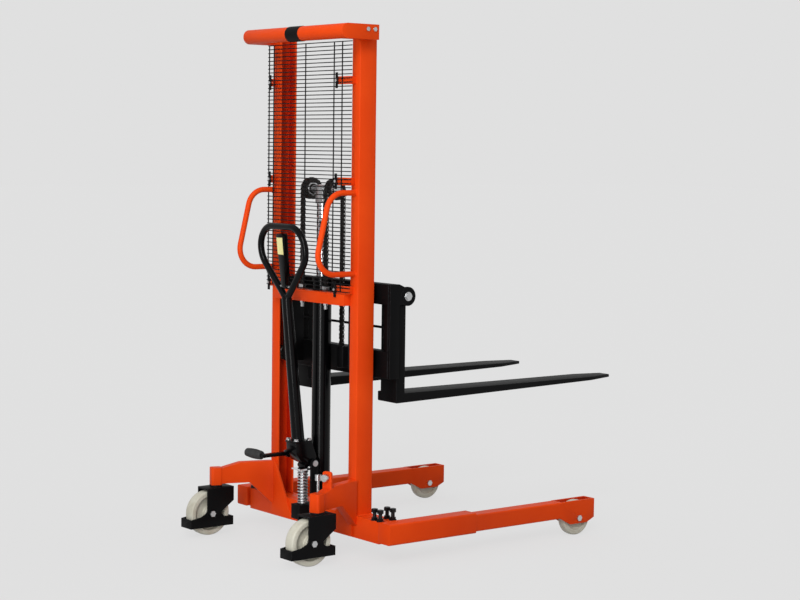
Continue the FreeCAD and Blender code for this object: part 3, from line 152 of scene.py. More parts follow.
# Plated or bare steel: metal with fine brushed streaks and a little grime in the roughness.
def plainSteel(look):
    material, tree, shader, place = startMaterial(look["name"])
    stretch = addNode(tree, "ShaderNodeMapping", {}, {"Vector": place, "Scale": look["grain"]}).outputs["Vector"]
    streak = addNode(tree, "ShaderNodeTexNoise", {}, {
        "Vector": stretch, "Scale": perMetre(look["grainSize"]), "Detail": 2.0}).outputs["Fac"]
    tone = steps(tree, streak, [(0.3, linear(look["deep"])), (0.72, linear(look["colour"]))])
    tree.links.new(tone, shader.inputs["Base Color"])
    rough = addNode(tree, "ShaderNodeMapRange", {}, {
        "Value": streak, "To Min": look["rough"] - 0.06, "To Max": look["rough"] + 0.1}).outputs["Result"]
    tree.links.new(rough, shader.inputs["Roughness"])
    bump = addNode(tree, "ShaderNodeBump", {}, {"Height": streak, "Strength": look["relief"], "Distance": 0.0004})
    tree.links.new(bump.outputs["Normal"], shader.inputs["Normal"])
    shader.inputs["Metallic"].default_value = look["metal"]
    return material


# Moulded plastic or rubber: even colour, soft scuffs and a fine moulded grain.
def moulded(look):
    material, tree, shader, place = startMaterial(look["name"])
    scuff = addNode(tree, "ShaderNodeTexNoise", {}, {
        "Vector": place, "Scale": perMetre(look["scuffSize"]), "Detail": 5.0, "Roughness": 0.65}).outputs["Fac"]
    tone = steps(tree, scuff, [(0.28, linear(look["deep"])), (0.55, linear(look["colour"]))])
    tree.links.new(tone, shader.inputs["Base Color"])
    rough = addNode(tree, "ShaderNodeMapRange", {}, {
        "Value": scuff, "To Min": look["rough"] + 0.1, "To Max": look["rough"] - 0.05}).outputs["Result"]
    tree.links.new(rough, shader.inputs["Roughness"])
    grain = addNode(tree, "ShaderNodeTexNoise", {}, {
        "Vector": place, "Scale": perMetre(look["grainSize"]), "Detail": 1.0}).outputs["Fac"]
    bump = addNode(tree, "ShaderNodeBump", {}, {"Height": grain, "Strength": look["relief"], "Distance": 0.0005})
    tree.links.new(bump.outputs["Normal"], shader.inputs["Normal"])
    shader.inputs["IOR"].default_value = look["ior"]
    return material


# Each coat's recess colour is painted shade; the pale edge colour of the black coats is partly real wear and partly a
# painted highlight.
finishes = {
    "orange_paint": powderCoat({
        "name": "powderCoatOrange", "colour": "#e94b12", "deep": "#df410d", "edge": "#f4743a", "cloudSize": 240,
        "chipSize": 9, "wearAndGlintStrength": 0.4, "rough": 0.46, "peelSize": 5, "peel": 0.05, "gloss": 0.08,
        "paintedRecessShade": "#a01003", "paintedShadeReach": 140}),
    "black_paint": powderCoat({
        "name": "powderCoatBlack", "colour": "#070708", "deep": "#040405", "edge": "#505054", "cloudSize": 160,
        "chipSize": 7, "wearAndGlintStrength": 0.6, "rough": 0.55, "peelSize": 5, "peel": 0.03, "gloss": 0.09,
        "paintedRecessShade": "#030304", "paintedShadeReach": 60}),
    "black_enamel": powderCoat({
        "name": "glossBlackEnamel", "colour": "#060607", "deep": "#030304", "edge": "#3c3c40", "cloudSize": 160,
        "chipSize": 7, "wearAndGlintStrength": 0.45, "rough": 0.2, "peelSize": 5, "peel": 0.02, "gloss": 0.12,
        "paintedRecessShade": "#030304", "paintedShadeReach": 60}),
    "black_screws": plainSteel({
        "name": "blackenedSteel", "colour": "#1b1b1d", "deep": "#0d0d0e", "grain": (1, 1, 6), "grainSize": 6,
        "rough": 0.38, "relief": 0.1, "metal": 0.6}),
    "oiled_steel": plainSteel({
        "name": "oiledSteel", "colour": "#3a3734", "deep": "#151312", "grain": (1, 1, 1), "grainSize": 8,
        "rough": 0.34, "relief": 0.15, "metal": 0.8}),
    "zinc_steel": plainSteel({
        "name": "zincPlatedSteel", "colour": "#d4d5d6", "deep": "#b2b3b4", "grain": (1, 1, 5), "grainSize": 7,
        "rough": 0.3, "relief": 0.08, "metal": 1.0}),
    "chrome_rod": plainSteel({
        "name": "hardChrome", "colour": "#e6e7e9", "deep": "#d6d7da", "grain": (0.2, 0.2, 8), "grainSize": 6,
        "rough": 0.14, "relief": 0.03, "metal": 1.0}),
    "black_rubber": moulded({
        "name": "blackRubber", "colour": "#1b1b1c", "deep": "#111112", "scuffSize": 30, "grainSize": 4,
        "rough": 0.62, "relief": 0.2, "ior": 1.5}),
    "pale_label": moulded({
        "name": "paleYellowVinyl", "colour": "#e9e2a0", "deep": "#d8cf88", "scuffSize": 25, "grainSize": 6,
        "rough": 0.4, "relief": 0.04, "ior": 1.46}),
    "cream_nylon": moulded({
        "name": "creamNylon", "colour": "#cbc8b9", "deep": "#bbb6a4", "scuffSize": 40, "grainSize": 5,
        "rough": 0.42, "relief": 0.06, "ior": 1.53}),
}
slotOf = {part["node"]: part["material_slot"] for part in frame["record"]["subparts"]}
bodyOf = {node: body for body, members in frame["record"]["behaviour"]["bodies"].items() for node in members}
print("materials ready:", len(finishes))

# the hydraulic and tiller pieces are enamelled, glossier than the powder coat on the carriage and casters
enamelled = {"lift_cylinder", "cylinder_gland", "tiller_shaft", "tiller_loop", "tiller_seat", "release_lever",
             "foot_pedal"}


def paint(thing, slotName, stands=()):
    finish = "black_enamel" if enamelled.intersection(stands) else slotName
    thing.data.materials.clear()
    thing.data.materials.append(finishes[finish])


def addPiece(name, mesh, body, slotName, stands=()):
    for face in mesh.faces:
        face.smooth = True
    data = bpy.data.meshes.new(name)
    mesh.to_mesh(data)
    mesh.free()
    data.set_sharp_from_angle(angle=math.radians(34))
    thing = bpy.data.objects.new(name, data)
    scene.collection.objects.link(thing)
    paint(thing, slotName, stands)
    if body:
        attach(thing, body)
    if stands:
        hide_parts(*stands)
    return thing


# Welded and pressed steel pieces: the CAD shape with its corners eased.
easedPieces = {
    "mast_left": 0.003, "mast_right": 0.003, "base_beam": 0.003, "mid_crossbar": 0.003, "top_bar": 0.003,
    "caster_arm_left": 0.003, "caster_arm_right": 0.003, "guard_brackets": 0.0012, "guard_clamps": 0.001,
    "leg_left": 0.0025, "leg_right": 0.0025, "carriage_top_bar": 0.003, "carriage_lower_bar": 0.003,
    "carriage_uprights": 0.003, "carriage_plates": 0.002, "fork_end_plates": 0.0025, "fork_left": 0.003,
    "fork_right": 0.003, "caster_fork_left": 0.0015, "caster_fork_right": 0.0015, "pump_block": 0.002,
    "crosshead_yoke": 0.003, "foot_pedal": 0.002, "release_lever": 0.0015, "frame_bolts": 0.001,
    "chain_anchors": 0.001,
}
seamGap = {"base_beam": (0.4475, 0.006)}  # ends past this half width stand back, for the dark seam before the legs


def mergedCopy(node):
    mesh = bmesh.new()
    mesh.from_mesh(nodes[node].data)
    bmesh.ops.remove_doubles(mesh, verts=mesh.verts, dist=1e-5)
    bmesh.ops.dissolve_limit(mesh, angle_limit=math.radians(1), verts=mesh.verts, edges=mesh.edges)
    return mesh


def sharpEdges(mesh):
    return [e for e in mesh.edges if len(e.link_faces) == 2 and e.calc_face_angle() > math.radians(40)]


def easeEdges(mesh, edges, width):
    bmesh.ops.bevel(mesh, geom=edges, offset=width, offset_type="OFFSET", segments=2, profile=0.5,
                    affect="EDGES", clamp_overlap=True, material=-1)


def easeCorners(node, width):
    mesh = mergedCopy(node)
    if node in seamGap:
        limit, gap = seamGap[node]
        for sign in (1, -1):
            ends = [v for v in mesh.verts if v.co.y * sign > limit]
            bmesh.ops.translate(mesh, vec=(0, -sign * gap, 0), verts=ends)
    easeEdges(mesh, sharpEdges(mesh), width)
    addPiece(f"{node}_eased", mesh, bodyOf[node], slotOf[node], [node])


for node, width in easedPieces.items():
    easeCorners(node, width)
for node, thing in nodes.items():
    paint(thing, slotOf[node], [node])
print("eased pieces:", len(easedPieces))


def spot(x, y, z):
    return Vector((x / 1000 + mastX, y / 1000, z / 1000))  # millimetres from the mast's rear face


def closeUp(mesh):
    bmesh.ops.remove_doubles(mesh, verts=mesh.verts, dist=1e-6)
    bmesh.ops.recalc_face_normals(mesh, faces=mesh.faces)


# A turned piece: a closed profile of (radius, height) in millimetres spun about its axis.
def spin(mesh, centre, axis, profile, turns=64):
    ahead = Vector(axis)
    side = ahead.orthogonal().normalized()
    row = [mesh.verts.new(centre + side * (r / 1000) + ahead * (h / 1000)) for r, h in profile]
    lines = [mesh.edges.new((row[i - 1], row[i])) for i in range(len(row))]
    bmesh.ops.spin(mesh, geom=row + lines, cent=centre, axis=ahead, dvec=(0, 0, 0), angle=2 * math.pi, steps=turns,
                   use_merge=True)


def bothFaces(profile):
    return [(r, -h) for r, h in profile] + [(r, h) for r, h in reversed(profile)]


# Profile of a solid turned piece from its low to its high face, with the upper rim cut off; the core stops just
# short of the axis.
def solidDisc(radius, low, high, cut=(0, 0)):
    inward, down = cut
    rim = [(radius, high - down), (radius - inward, high)] if down else [(radius, high)]
    return [(radius, low)] + rim + [(0.01, high), (0.01, low)]


bendSteps = 12  # straight pieces in each bend of a tube


# The line of a bent tube: straight runs joined by arcs of each corner's bend radius.
def bentLine(corners, bends, closed):
    line = []
    for i, point in enumerate(corners):
        if not closed and i in (0, len(corners) - 1):
            line.append(point)
            continue
        back = (corners[i - 1] - point).normalized()
        ahead = (corners[(i + 1) % len(corners)] - point).normalized()
        half = back.angle(ahead) / 2
        bend = bends[i] / 1000
        middle = point + (back + ahead).normalized() * (bend / math.sin(half))
        first = point + back * (bend / math.tan(half)) - middle
        last = point + ahead * (bend / math.tan(half)) - middle
        sweepAngle = first.angle(last)
        for step in range(bendSteps + 1):
            share = step / bendSteps
            line.append(middle + (first * math.sin((1 - share) * sweepAngle) + last * math.sin(share * sweepAngle))
                        / math.sin(sweepAngle))
    return line


def tube(mesh, line, radii, sides=20, closed=False):
    rings = []
    side = None
    for i, point in enumerate(line):
        before = line[i - 1] if closed or i else point
        after = line[(i + 1) % len(line)] if closed or i < len(line) - 1 else point
        ahead = (after - before).normalized()
        side = ahead.orthogonal() if side is None else side - ahead * side.dot(ahead)
        side.normalize()
        up = ahead.cross(side)
        angles = [2 * math.pi * k / sides for k in range(sides)]
        rings.append([mesh.verts.new(point + (side * math.cos(a) + up * math.sin(a)) * (radii[i] / 1000))
                      for a in angles])
    pairs = list(zip(rings, rings[1:])) + ([(rings[-1], rings[0])] if closed else [])
    for low, high in pairs:
        for k in range(sides):
            mesh.faces.new((low[k], low[(k + 1) % sides], high[(k + 1) % sides], high[k]))
    if not closed:
        mesh.faces.new(rings[0])
        mesh.faces.new(rings[-1])


# Wheels: cast nylon with a crowned tread, a moulded line on the side, a dished web and a hub with a ball bearing.
wheelLooks = [
    {"name": "casterWheel", "node": "caster_wheel", "x": -266, "y": 353, "z": 90, "bearing": (9, 17, 24.6),
     "profile": [
        (8.2, 23.5), (18, 23.5), (18.6, 24.4), (24.4, 25), (26, 23.6), (26.8, 12), (29, 9.4), (33, 9), (61, 9),
        (64.6, 9.8), (66.4, 12.4), (68, 23), (69.6, 24.6), (72, 25), (78.4, 25), (79, 24.2), (80, 24.2), (80.6, 25),
        (84, 24.8), (86.6, 23.4), (88.4, 20.4), (89.4, 15), (90, 6)]},
    {"name": "loadWheel", "node": "load_wheel", "x": 967, "y": 487, "z": 72, "bearing": (9, 16, 17.6),
     "profile": [
        (8.2, 16.6), (16.6, 16.6), (17.2, 17.4), (20.6, 18), (22, 16.8), (22.8, 12.4), (24.6, 10.4), (28, 10),
        (44.6, 10), (47.6, 10.8), (49, 13), (50.2, 16.8), (51.6, 18), (60.4, 18), (61, 17.3), (62, 17.3), (62.6, 18),
        (66.4, 17.8), (69, 16.6), (70.8, 14), (71.6, 10), (72, 4)]},
]


def addWheels(look):
    for sideName, sign in (("left", 1), ("right", -1)):
        node = f"{look['node']}_{sideName}"
        centre = spot(look["x"], sign * look["y"], look["z"])
        mesh = bmesh.new()
        spin(mesh, centre, (0, 1, 0), bothFaces(look["profile"]), 96)
        closeUp(mesh)
        addPiece(f"{look['name']}_{sideName}", mesh, node, slotOf[node], [node])
        inner, outer, face = look["bearing"]
        mesh = bmesh.new()
        for turn in (1, -1):
            ring = [(inner, face - 3), (inner, face - 0.6), (inner + 2.4, face), (inner + 2.8, face - 1),
                    (outer - 2.6, face - 1), (outer - 2.2, face), (outer, face - 0.6), (outer, face - 3)]
            spin(mesh, centre, (0, turn, 0), ring, 48)
        closeUp(mesh)
        addPiece(f"{look['name']}Bearing_{sideName}", mesh, node, "zinc_steel")


# Chain wheels: a groove between two flanges, a dished web and a hub.
chainWheelLook = {"x": 41, "y": 79, "z": 1402, "profile": [
    (12.2, 14.3), (17, 14.5), (18.4, 13.6), (19.4, 10.4), (21, 9.6), (27.4, 9.6), (29, 10.4), (30, 13.8),
    (31.4, 14.5), (40.6, 14.5), (41.6, 14.1), (42, 13.2), (41.8, 12.2), (40.8, 11.7), (34.6, 11.5), (33.8, 11),
    (33.5, 9)],
                  "ring": [(19, 9), (20.4, 12.6), (21, 13), (25.4, 13), (26, 12.6), (27.2, 9)]}


def addChainWheels(look):
    mesh = bmesh.new()
    for sign in (1, -1):
        spin(mesh, spot(look["x"], sign * look["y"], look["z"]), (0, 1, 0), bothFaces(look["profile"]), 72)
    closeUp(mesh)
    addPiece("groovedChainWheels", mesh, "wheels_of_chain", slotOf["chain_wheels"], ["chain_wheels"])
    mesh = bmesh.new()
    for sign in (1, -1):
        for turn in (1, -1):
            spin(mesh, spot(look["x"], sign * look["y"], look["z"]), (0, turn, 0), look["ring"], 48)
    closeUp(mesh)
    addPiece("chainWheelBearings", mesh, "wheels_of_chain", "zinc_steel")


# Leaf chain: plates laced on riveted pins, from the anchor up, over the wheel and down to the carriage.
chainLook = {"y": 79, "rear": 1, "front": 81, "foot": 1024, "end": 785, "wheel": (41, 1402), "radius": 40,
             "rearLinks": 24, "wrapLinks": 8, "frontLinks": 39, "eye": 6, "waist": 4.4, "plate": 2.3, "pin": 2.7,
             "pinHalf": 10.9, "layers": [(-9.6, -2.4, 2.4, 9.6), (-7.2, -4.8, 4.8, 7.2)]}


def addLink(mesh, first, last, layers, look):
    along = (last - first).normalized()
    out = Vector((0, 1, 0)).cross(along)
    eye, waist = look["eye"] / 1000, look["waist"] / 1000
    quarter = [math.radians(a) for a in (90, 45, 0, -45, -90)]
    rim = [last + along * (eye * math.cos(a)) + out * (eye * math.sin(a)) for a in quarter]
    rim.append((first + last) / 2 - out * waist)
    rim += [first - along * (eye * math.cos(a)) - out * (eye * math.sin(a)) for a in quarter]
    rim.append((first + last) / 2 + out * waist)
    for layer in layers:
        low = [mesh.verts.new(p + Vector((0, (layer - look["plate"] / 2) / 1000, 0))) for p in rim]
        high = [mesh.verts.new(p + Vector((0, (layer + look["plate"] / 2) / 1000, 0))) for p in rim]
        mesh.faces.new(low)
        mesh.faces.new(list(reversed(high)))
        for k in range(len(rim)):
            mesh.faces.new((low[k - 1], high[k - 1], high[k], low[k]))


def addPin(mesh, point, look):
    half = Vector((0, look["pinHalf"] / 1000, 0))
    tube(mesh, [point - half, point + half], [look["pin"]] * 2, 8)


def chainRun(name, joints, start, look, node, body):
    mesh = bmesh.new()
    pins = bmesh.new()
    for sign in (1, -1):
        stations = [p + Vector((0, sign * look["y"] / 1000, 0)) for p in joints]
        for k, (first, last) in enumerate(zip(stations, stations[1:])):
            addLink(mesh, first, last, look["layers"][(start + k) % 2], look)
        for point in stations[:-1] if node == "chain_rear_runs" else stations[1:]:
            addPin(pins, point, look)
        if node == "chain_wraps":
            addPin(pins, stations[0], look)
    bmesh.ops.recalc_face_normals(mesh, faces=mesh.faces)
    bmesh.ops.recalc_face_normals(pins, faces=pins.faces)
    return [addPiece(name, mesh, body, slotOf[node], [node]), addPiece(f"{name}Pins", pins, body, "zinc_steel")]


def addChains(look):
    wheelX, wheelZ = look["wheel"]
    rear = [spot(look["rear"], 0, look["foot"] + (wheelZ - look["foot"]) * k / look["rearLinks"])
            for k in range(look["rearLinks"] + 1)]
    angles = [math.pi - math.pi * k / look["wrapLinks"] for k in range(look["wrapLinks"] + 1)]
    wrap = [spot(wheelX + look["radius"] * math.cos(a), 0, wheelZ + look["radius"] * math.sin(a)) for a in angles]
    front = [spot(look["front"], 0, wheelZ - (wheelZ - look["end"]) * k / look["frontLinks"])
             for k in range(look["frontLinks"] + 1)]
    for piece in chainRun("leafChainRear", rear, 0, look, "chain_rear_runs", None):
        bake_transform(piece)
    chainRun("leafChainWrap", wrap, look["rearLinks"], look, "chain_wraps", "crosshead")
    frontStart = look["rearLinks"] + look["wrapLinks"]
    for piece in chainRun("leafChainFront", front, frontStart, look, "chain_front_runs", None):
        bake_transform(piece)


# Return spring: a wound wire with a flat turn at each end.
springLook = {"x": -45, "low": 160.5, "high": 292.5, "radius": 19.5, "wire": 2.5, "turns": 12, "flat": 1.0,
              "flatPitch": 1.04, "stepsPerTurn": 28}


def addSpring(look):
    count = look["turns"] * look["stepsPerTurn"]
    flatRise = 2 * look["wire"] * look["flatPitch"]  # climb of a flat turn, whose coils nearly touch
    climb = look["high"] - look["low"] - 2 * look["flat"] * flatRise
    line = []
    for k in range(count + 1):
        turn = look["turns"] * k / count
        share = min(max((turn - look["flat"]) / (look["turns"] - 2 * look["flat"]), 0), 1)
        lift = flatRise * (min(turn, look["flat"]) + max(turn - look["turns"] + look["flat"], 0))
        angle = 2 * math.pi * turn
        line.append(spot(look["x"] + look["radius"] * math.cos(angle), look["radius"] * math.sin(angle),
                         look["low"] + lift + climb * share))
    mesh = bmesh.new()
    tube(mesh, line, [look["wire"]] * len(line), 12)
    closeUp(mesh)
    piece = addPiece("woundReturnSpring", mesh, None, slotOf["return_spring"], ["return_spring"])
    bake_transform(piece)


# Bent handles: grab handles on the masts and the tiller's hand loop.
grabLook = {"y": 268, "corners": [(0, 1394), (-118, 1394), (-192, 1084), (0, 1084)], "bend": 75, "tube": 11}
loopLook = {"foot": (-66, 385), "lean": 6, "corners": [(0, 590), (186, 790), (98, 877), (-98, 877), (-186, 790)],
            "bends": [24, 88, 88, 88, 88], "tube": 13}


def addGrabHandles(look):
    mesh = bmesh.new()
    for sign in (1, -1):
        corners = [spot(x, sign * look["y"], z) for x, z in look["corners"]]
        line = bentLine(corners, [look["bend"]] * len(corners), False)
        tube(mesh, line, [look["tube"]] * len(line), 24)
    closeUp(mesh)
    addPiece("bentGrabHandles", mesh, "frame", slotOf["grab_handles"], ["grab_handles"])


def leanOut(look, x, y, rise):
    turn = math.radians(look["lean"])
    return spot(look["foot"][0] + x * math.cos(turn) - rise * math.sin(turn), y,
                look["foot"][1] + x * math.sin(turn) + rise * math.cos(turn))


def addLoop(look):
    corners = [leanOut(look, 0, y, rise) for y, rise in look["corners"]]
    line = bentLine(corners, look["bends"], True)
    mesh = bmesh.new()
    tube(mesh, line, [look["tube"]] * len(line), 24, True)
    closeUp(mesh)
    addPiece("bentHandLoop", mesh, "tiller", slotOf["tiller_loop"], ["tiller_loop"])


# Wire guard: the welded mesh, each wire drawn this many millimetres thicker on every side than its solid.
guardLook = {"extra": 0.6}


def addGuard(look):
    mesh = bmesh.new()
    mesh.from_mesh(nodes["guard_mesh"].data)
    closeUp(mesh)
    bmesh.ops.dissolve_limit(mesh, angle_limit=math.radians(1), verts=mesh.verts, edges=mesh.edges)
    mesh.normal_update()
    for v in mesh.verts:
        v.co += v.normal * (look["extra"] / 1000)
    addPiece("guardWires", mesh, bodyOf["guard_mesh"], slotOf["guard_mesh"], ["guard_mesh"])


# Foot-pedal pad: a ribbed rubber sleeve, thicker in the middle, with a domed end.
padLook = {"x": -200, "y": 60, "z": 356, "length": 104, "radius": 16, "swell": 3.5, "bore": 8.2, "rib": 7,
           "ribShares": (0.55, 0.68, 0.88), "groove": 1.1, "dome": [(0, -3), (0, 0), (9, -0.3), (13, -1.6)],
           "domeDepth": 4, "collarDepth": 5, "collar": [(14.5, 1.2), (12.5, 0)]}


def addPad(look):
    profile = [(r, look["length"] + h) for r, h in look["dome"]]
    crest, slope, valley = (share * look["rib"] for share in look["ribShares"])
    rise = look["length"] - look["domeDepth"]
    while rise > look["collarDepth"]:
        size = look["radius"] + look["swell"] * math.sin(math.pi * rise / look["length"])
        profile += [(size, rise), (size, rise - crest), (size - look["groove"], rise - slope),
                    (size - look["groove"], rise - valley)]
        rise -= look["rib"]
    profile += look["collar"] + [(look["bore"], 0), (look["bore"], 3)]
    mesh = bmesh.new()
    spin(mesh, spot(look["x"], look["y"], look["z"]), (0, 1, 0), profile, 48)
    closeUp(mesh)
    addPiece("ribbedPedalPad", mesh, "pedal", slotOf["pedal_pad"], ["pedal_pad"])


# Tiller seat: the casting cut down to a flat top, a flange on it and four hexagon bolts.
seatLook = {"drop": 34, "ease": 4, "flange": (-106, -26, 37), "thick": 9, "flangeEase": 3,
            "bolts": (-96, -36, 27), "head": (8.5, 6.5), "headCut": (1.2, 1.2), "washer": (10, 2.2),
            "sink": 0.5}


def addSeat(look):
    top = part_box("tiller_seat")[1][2] - look["drop"] / 1000
    mesh = mergedCopy("tiller_seat")
    bmesh.ops.bisect_plane(mesh, geom=mesh.verts[:] + mesh.edges[:] + mesh.faces[:], plane_co=(0, 0, top),
                           plane_no=(0, 0, 1), clear_outer=True)
    bmesh.ops.holes_fill(mesh, edges=[e for e in mesh.edges if e.is_boundary])
    easeEdges(mesh, sharpEdges(mesh), look["ease"] / 1000)
    addPiece("tiller_seat_eased", mesh, "tiller", slotOf["tiller_seat"], ["tiller_seat"])
    rear, front, half = look["flange"]
    thick, sink = look["thick"] / 1000, look["sink"] / 1000
    mesh = bmesh.new()
    bmesh.ops.create_cube(mesh, size=1)
    bmesh.ops.scale(mesh, vec=((front - rear) / 1000, half * 2 / 1000, thick), verts=mesh.verts)
    easeEdges(mesh, mesh.edges[:], look["flangeEase"] / 1000)
    middle = spot((rear + front) / 2, 0, 0)
    middle.z = top + thick / 2 - sink
    bmesh.ops.translate(mesh, vec=middle, verts=mesh.verts)
    flange = addPiece("seatFlange", mesh, "tiller", slotOf["tiller_seat"])
    paint(flange, "black_paint", ["tiller_seat"])
    first, last, side = look["bolts"]
    head, headHeight = look["head"]
    washer, washerHeight = look["washer"]
    mesh = bmesh.new()
    for x, y in ((first, side), (first, -side), (last, side), (last, -side)):
        foot = spot(x, y, 0)
        foot.z = top + thick - 2 * sink
        spin(mesh, foot, (0, 0, 1), solidDisc(washer, 0, washerHeight), 20)
        foot.z += washerHeight / 1000
        spin(mesh, foot, (0, 0, 1), solidDisc(head, 0, headHeight, look["headCut"]), 6)
    closeUp(mesh)
    addPiece("flangeBolts", mesh, "tiller", "zinc_steel")


# Clamp screws: hexagon head, thick neck and a flanged lock nut on the beam.
clampLook = {"xs": (12, 72), "ys": (398, 434), "floor": 150, "height": 45, "head": (13.5, 14), "headCut": (1.4, 1.4),
             "neck": 7.4, "nut": (13, 12), "nutCut": (1.4, 1), "flange": (15, 2.4), "flangeCut": (0.6, 0.6), "lap": 1}


def addClampScrews(look):
    headSize, headHeight = look["head"]
    nutSize, nutTop = look["nut"]
    flangeSize, flangeTop = look["flange"]
    top, lap = look["height"], look["lap"]
    rows = [
        (24, solidDisc(flangeSize, 0, flangeTop, look["flangeCut"])),
        (6, solidDisc(nutSize, flangeTop, nutTop, look["nutCut"])),
        (24, solidDisc(look["neck"], nutTop - lap, top - headHeight + lap)),
        (6, solidDisc(headSize, top - headHeight, top, look["headCut"])),
    ]
    mesh = bmesh.new()
    for x in look["xs"]:
        for y in look["ys"]:
            for sign in (1, -1):
                for sides, profile in rows:
                    spin(mesh, spot(x, sign * y, look["floor"]), (0, 0, 1), profile, sides)
    closeUp(mesh)
    addPiece("clampScrewStacks", mesh, "frame", slotOf["clamp_screws"], ["clamp_screws"])


# Ends of the fork shaft: a round boss on each end plate and a washer under the bolt.
bossLook = {"x": 190, "z": 997, "inner": 350.2, "outer": 362.3, "radius": 37, "bore": 22, "ease": 2,
            "washer": (17.5, 2.2), "washerBore": 10, "washerEase": 0.5, "sink": 1}


def addShaftEnds(look):
    wall = look["outer"] - look["inner"]
    radius, bore, ease, sink = look["radius"], look["bore"], look["ease"], look["sink"]
    size, thick = look["washer"]
    hole, rim = look["washerBore"], look["washerEase"]
    boss = [(bore, 0), (radius, 0), (radius, wall - ease), (radius - ease, wall), (bore, wall)]
    washer = [(hole, -sink), (size, -sink), (size, thick - rim), (size - rim, thick), (hole, thick)]
    bosses, washers = bmesh.new(), bmesh.new()
    for sign in (1, -1):
        spin(bosses, spot(look["x"], sign * look["inner"], look["z"]), (0, sign, 0), boss, 72)
        spin(washers, spot(look["x"], sign * look["outer"], look["z"]), (0, sign, 0), washer, 40)
    closeUp(bosses)
    closeUp(washers)
    addPiece("shaftBosses", bosses, "carriage", slotOf["fork_end_plates"])
    addPiece("shaftWashers", washers, "carriage", "zinc_steel")


# Weld beads under the paint, rows of overlapping ripples: mast feet, handle ends, hand loop and carriage ends.
weldLook = {"size": 2.6, "ripple": 0.45, "rippleTurn": 2.1, "step": 2.2, "handle": (-0.6, 11.6), "loop": (20.4, 607),
            "mastRuns": [[(0, 291.5, 150), (79, 291.5, 150)], [(0, 240.5, 150), (0, 291.5, 150)],
                         [(79, 240.5, 150), (79, 291.5, 150)]],
            "carriageRuns": [[(101.8, 351, 684), (101.8, 351, 1041)]]}


def bead(mesh, line, look, closed):
    radii = [look["size"] + look["ripple"] * math.sin(look["rippleTurn"] * k) for k in range(len(line))]
    tube(mesh, line, radii, 8, closed)


def straightBeads(mesh, runs, look):
    for sign in (1, -1):
        for run in runs:
            first, last = (spot(x, sign * y, z) for x, y, z in run)
            count = round((last - first).length * 1000 / look["step"])
            bead(mesh, [first.lerp(last, k / count) for k in range(count + 1)], look, False)


def ringAngles(count):
    return [2 * math.pi * k / count for k in range(count)]


def addWelds(look):
    mesh = bmesh.new()
    straightBeads(mesh, look["mastRuns"], look)
    x, reach = look["handle"]
    for sign in (1, -1):
        for height in (grabLook["corners"][0][1], grabLook["corners"][-1][1]):
            bead(mesh, [spot(x, sign * grabLook["y"] + reach * math.cos(a), height + reach * math.sin(a))
                        for a in ringAngles(40)], look, True)
    closeUp(mesh)
    addPiece("paintedWelds", mesh, "frame", "orange_paint")
    mesh = bmesh.new()
    reach, rise = look["loop"]
    bead(mesh, [leanOut(loopLook, reach * math.cos(a), reach * math.sin(a), rise)
                for a in ringAngles(64)], look, True)
    closeUp(mesh)
    addPiece("paintedLoopWeld", mesh, "tiller", "black_paint")
    mesh = bmesh.new()
    straightBeads(mesh, look["carriageRuns"], look)
    closeUp(mesh)
    addPiece("paintedCarriageWelds", mesh, "carriage", "black_paint")


for look in wheelLooks:
    addWheels(look)
addChainWheels(chainWheelLook)
addChains(chainLook)
addSpring(springLook)
addGrabHandles(grabLook)
addLoop(loopLook)
addGuard(guardLook)
addPad(padLook)
addSeat(seatLook)
addClampScrews(clampLook)
addShaftEnds(bossLook)
addWelds(weldLook)
print("detail pieces added")

# Stage: pale floor that meets a pale world, soft light that is stronger overhead, and from the operator's side a
# broad sun and a tall soft box, which draws a long highlight on the round pieces.
stageLook = {"backdrop": "#e0e0e0", "sideGlow": 0.2, "topGlow": 0.8, "glowHeights": (0.05, 0.85),
             "sunStrength": 1.0, "sunSpread": 20, "sunHeading": (0.58, 0.55, -0.55),
             "floorSize": 60, "floorTone": "#b0b0b0", "floorGlow": "#f3f3f3", "floorGlowShare": 0.72,
             "boxSpot": (-2.2, -1.6, 1.5), "boxHeading": (0.81, 0.59, 0.0), "boxSize": (0.45, 3.0), "boxPower": 8,
             "boxSpread": 60}


def seenRays(tree):
    # rays that show the backdrop itself: the camera's, and those that bounce off metal or pass through
    rays = addNode(tree, "ShaderNodeLightPath", {}, {}).outputs
    pair = addNode(tree, "ShaderNodeMath", {"operation": "MAXIMUM"}, {
        0: rays["Is Camera Ray"], 1: rays["Is Glossy Ray"]}).outputs["Value"]
    return addNode(tree, "ShaderNodeMath", {"operation": "MAXIMUM"}, {
        0: pair, 1: rays["Is Transmission Ray"]}).outputs["Value"]


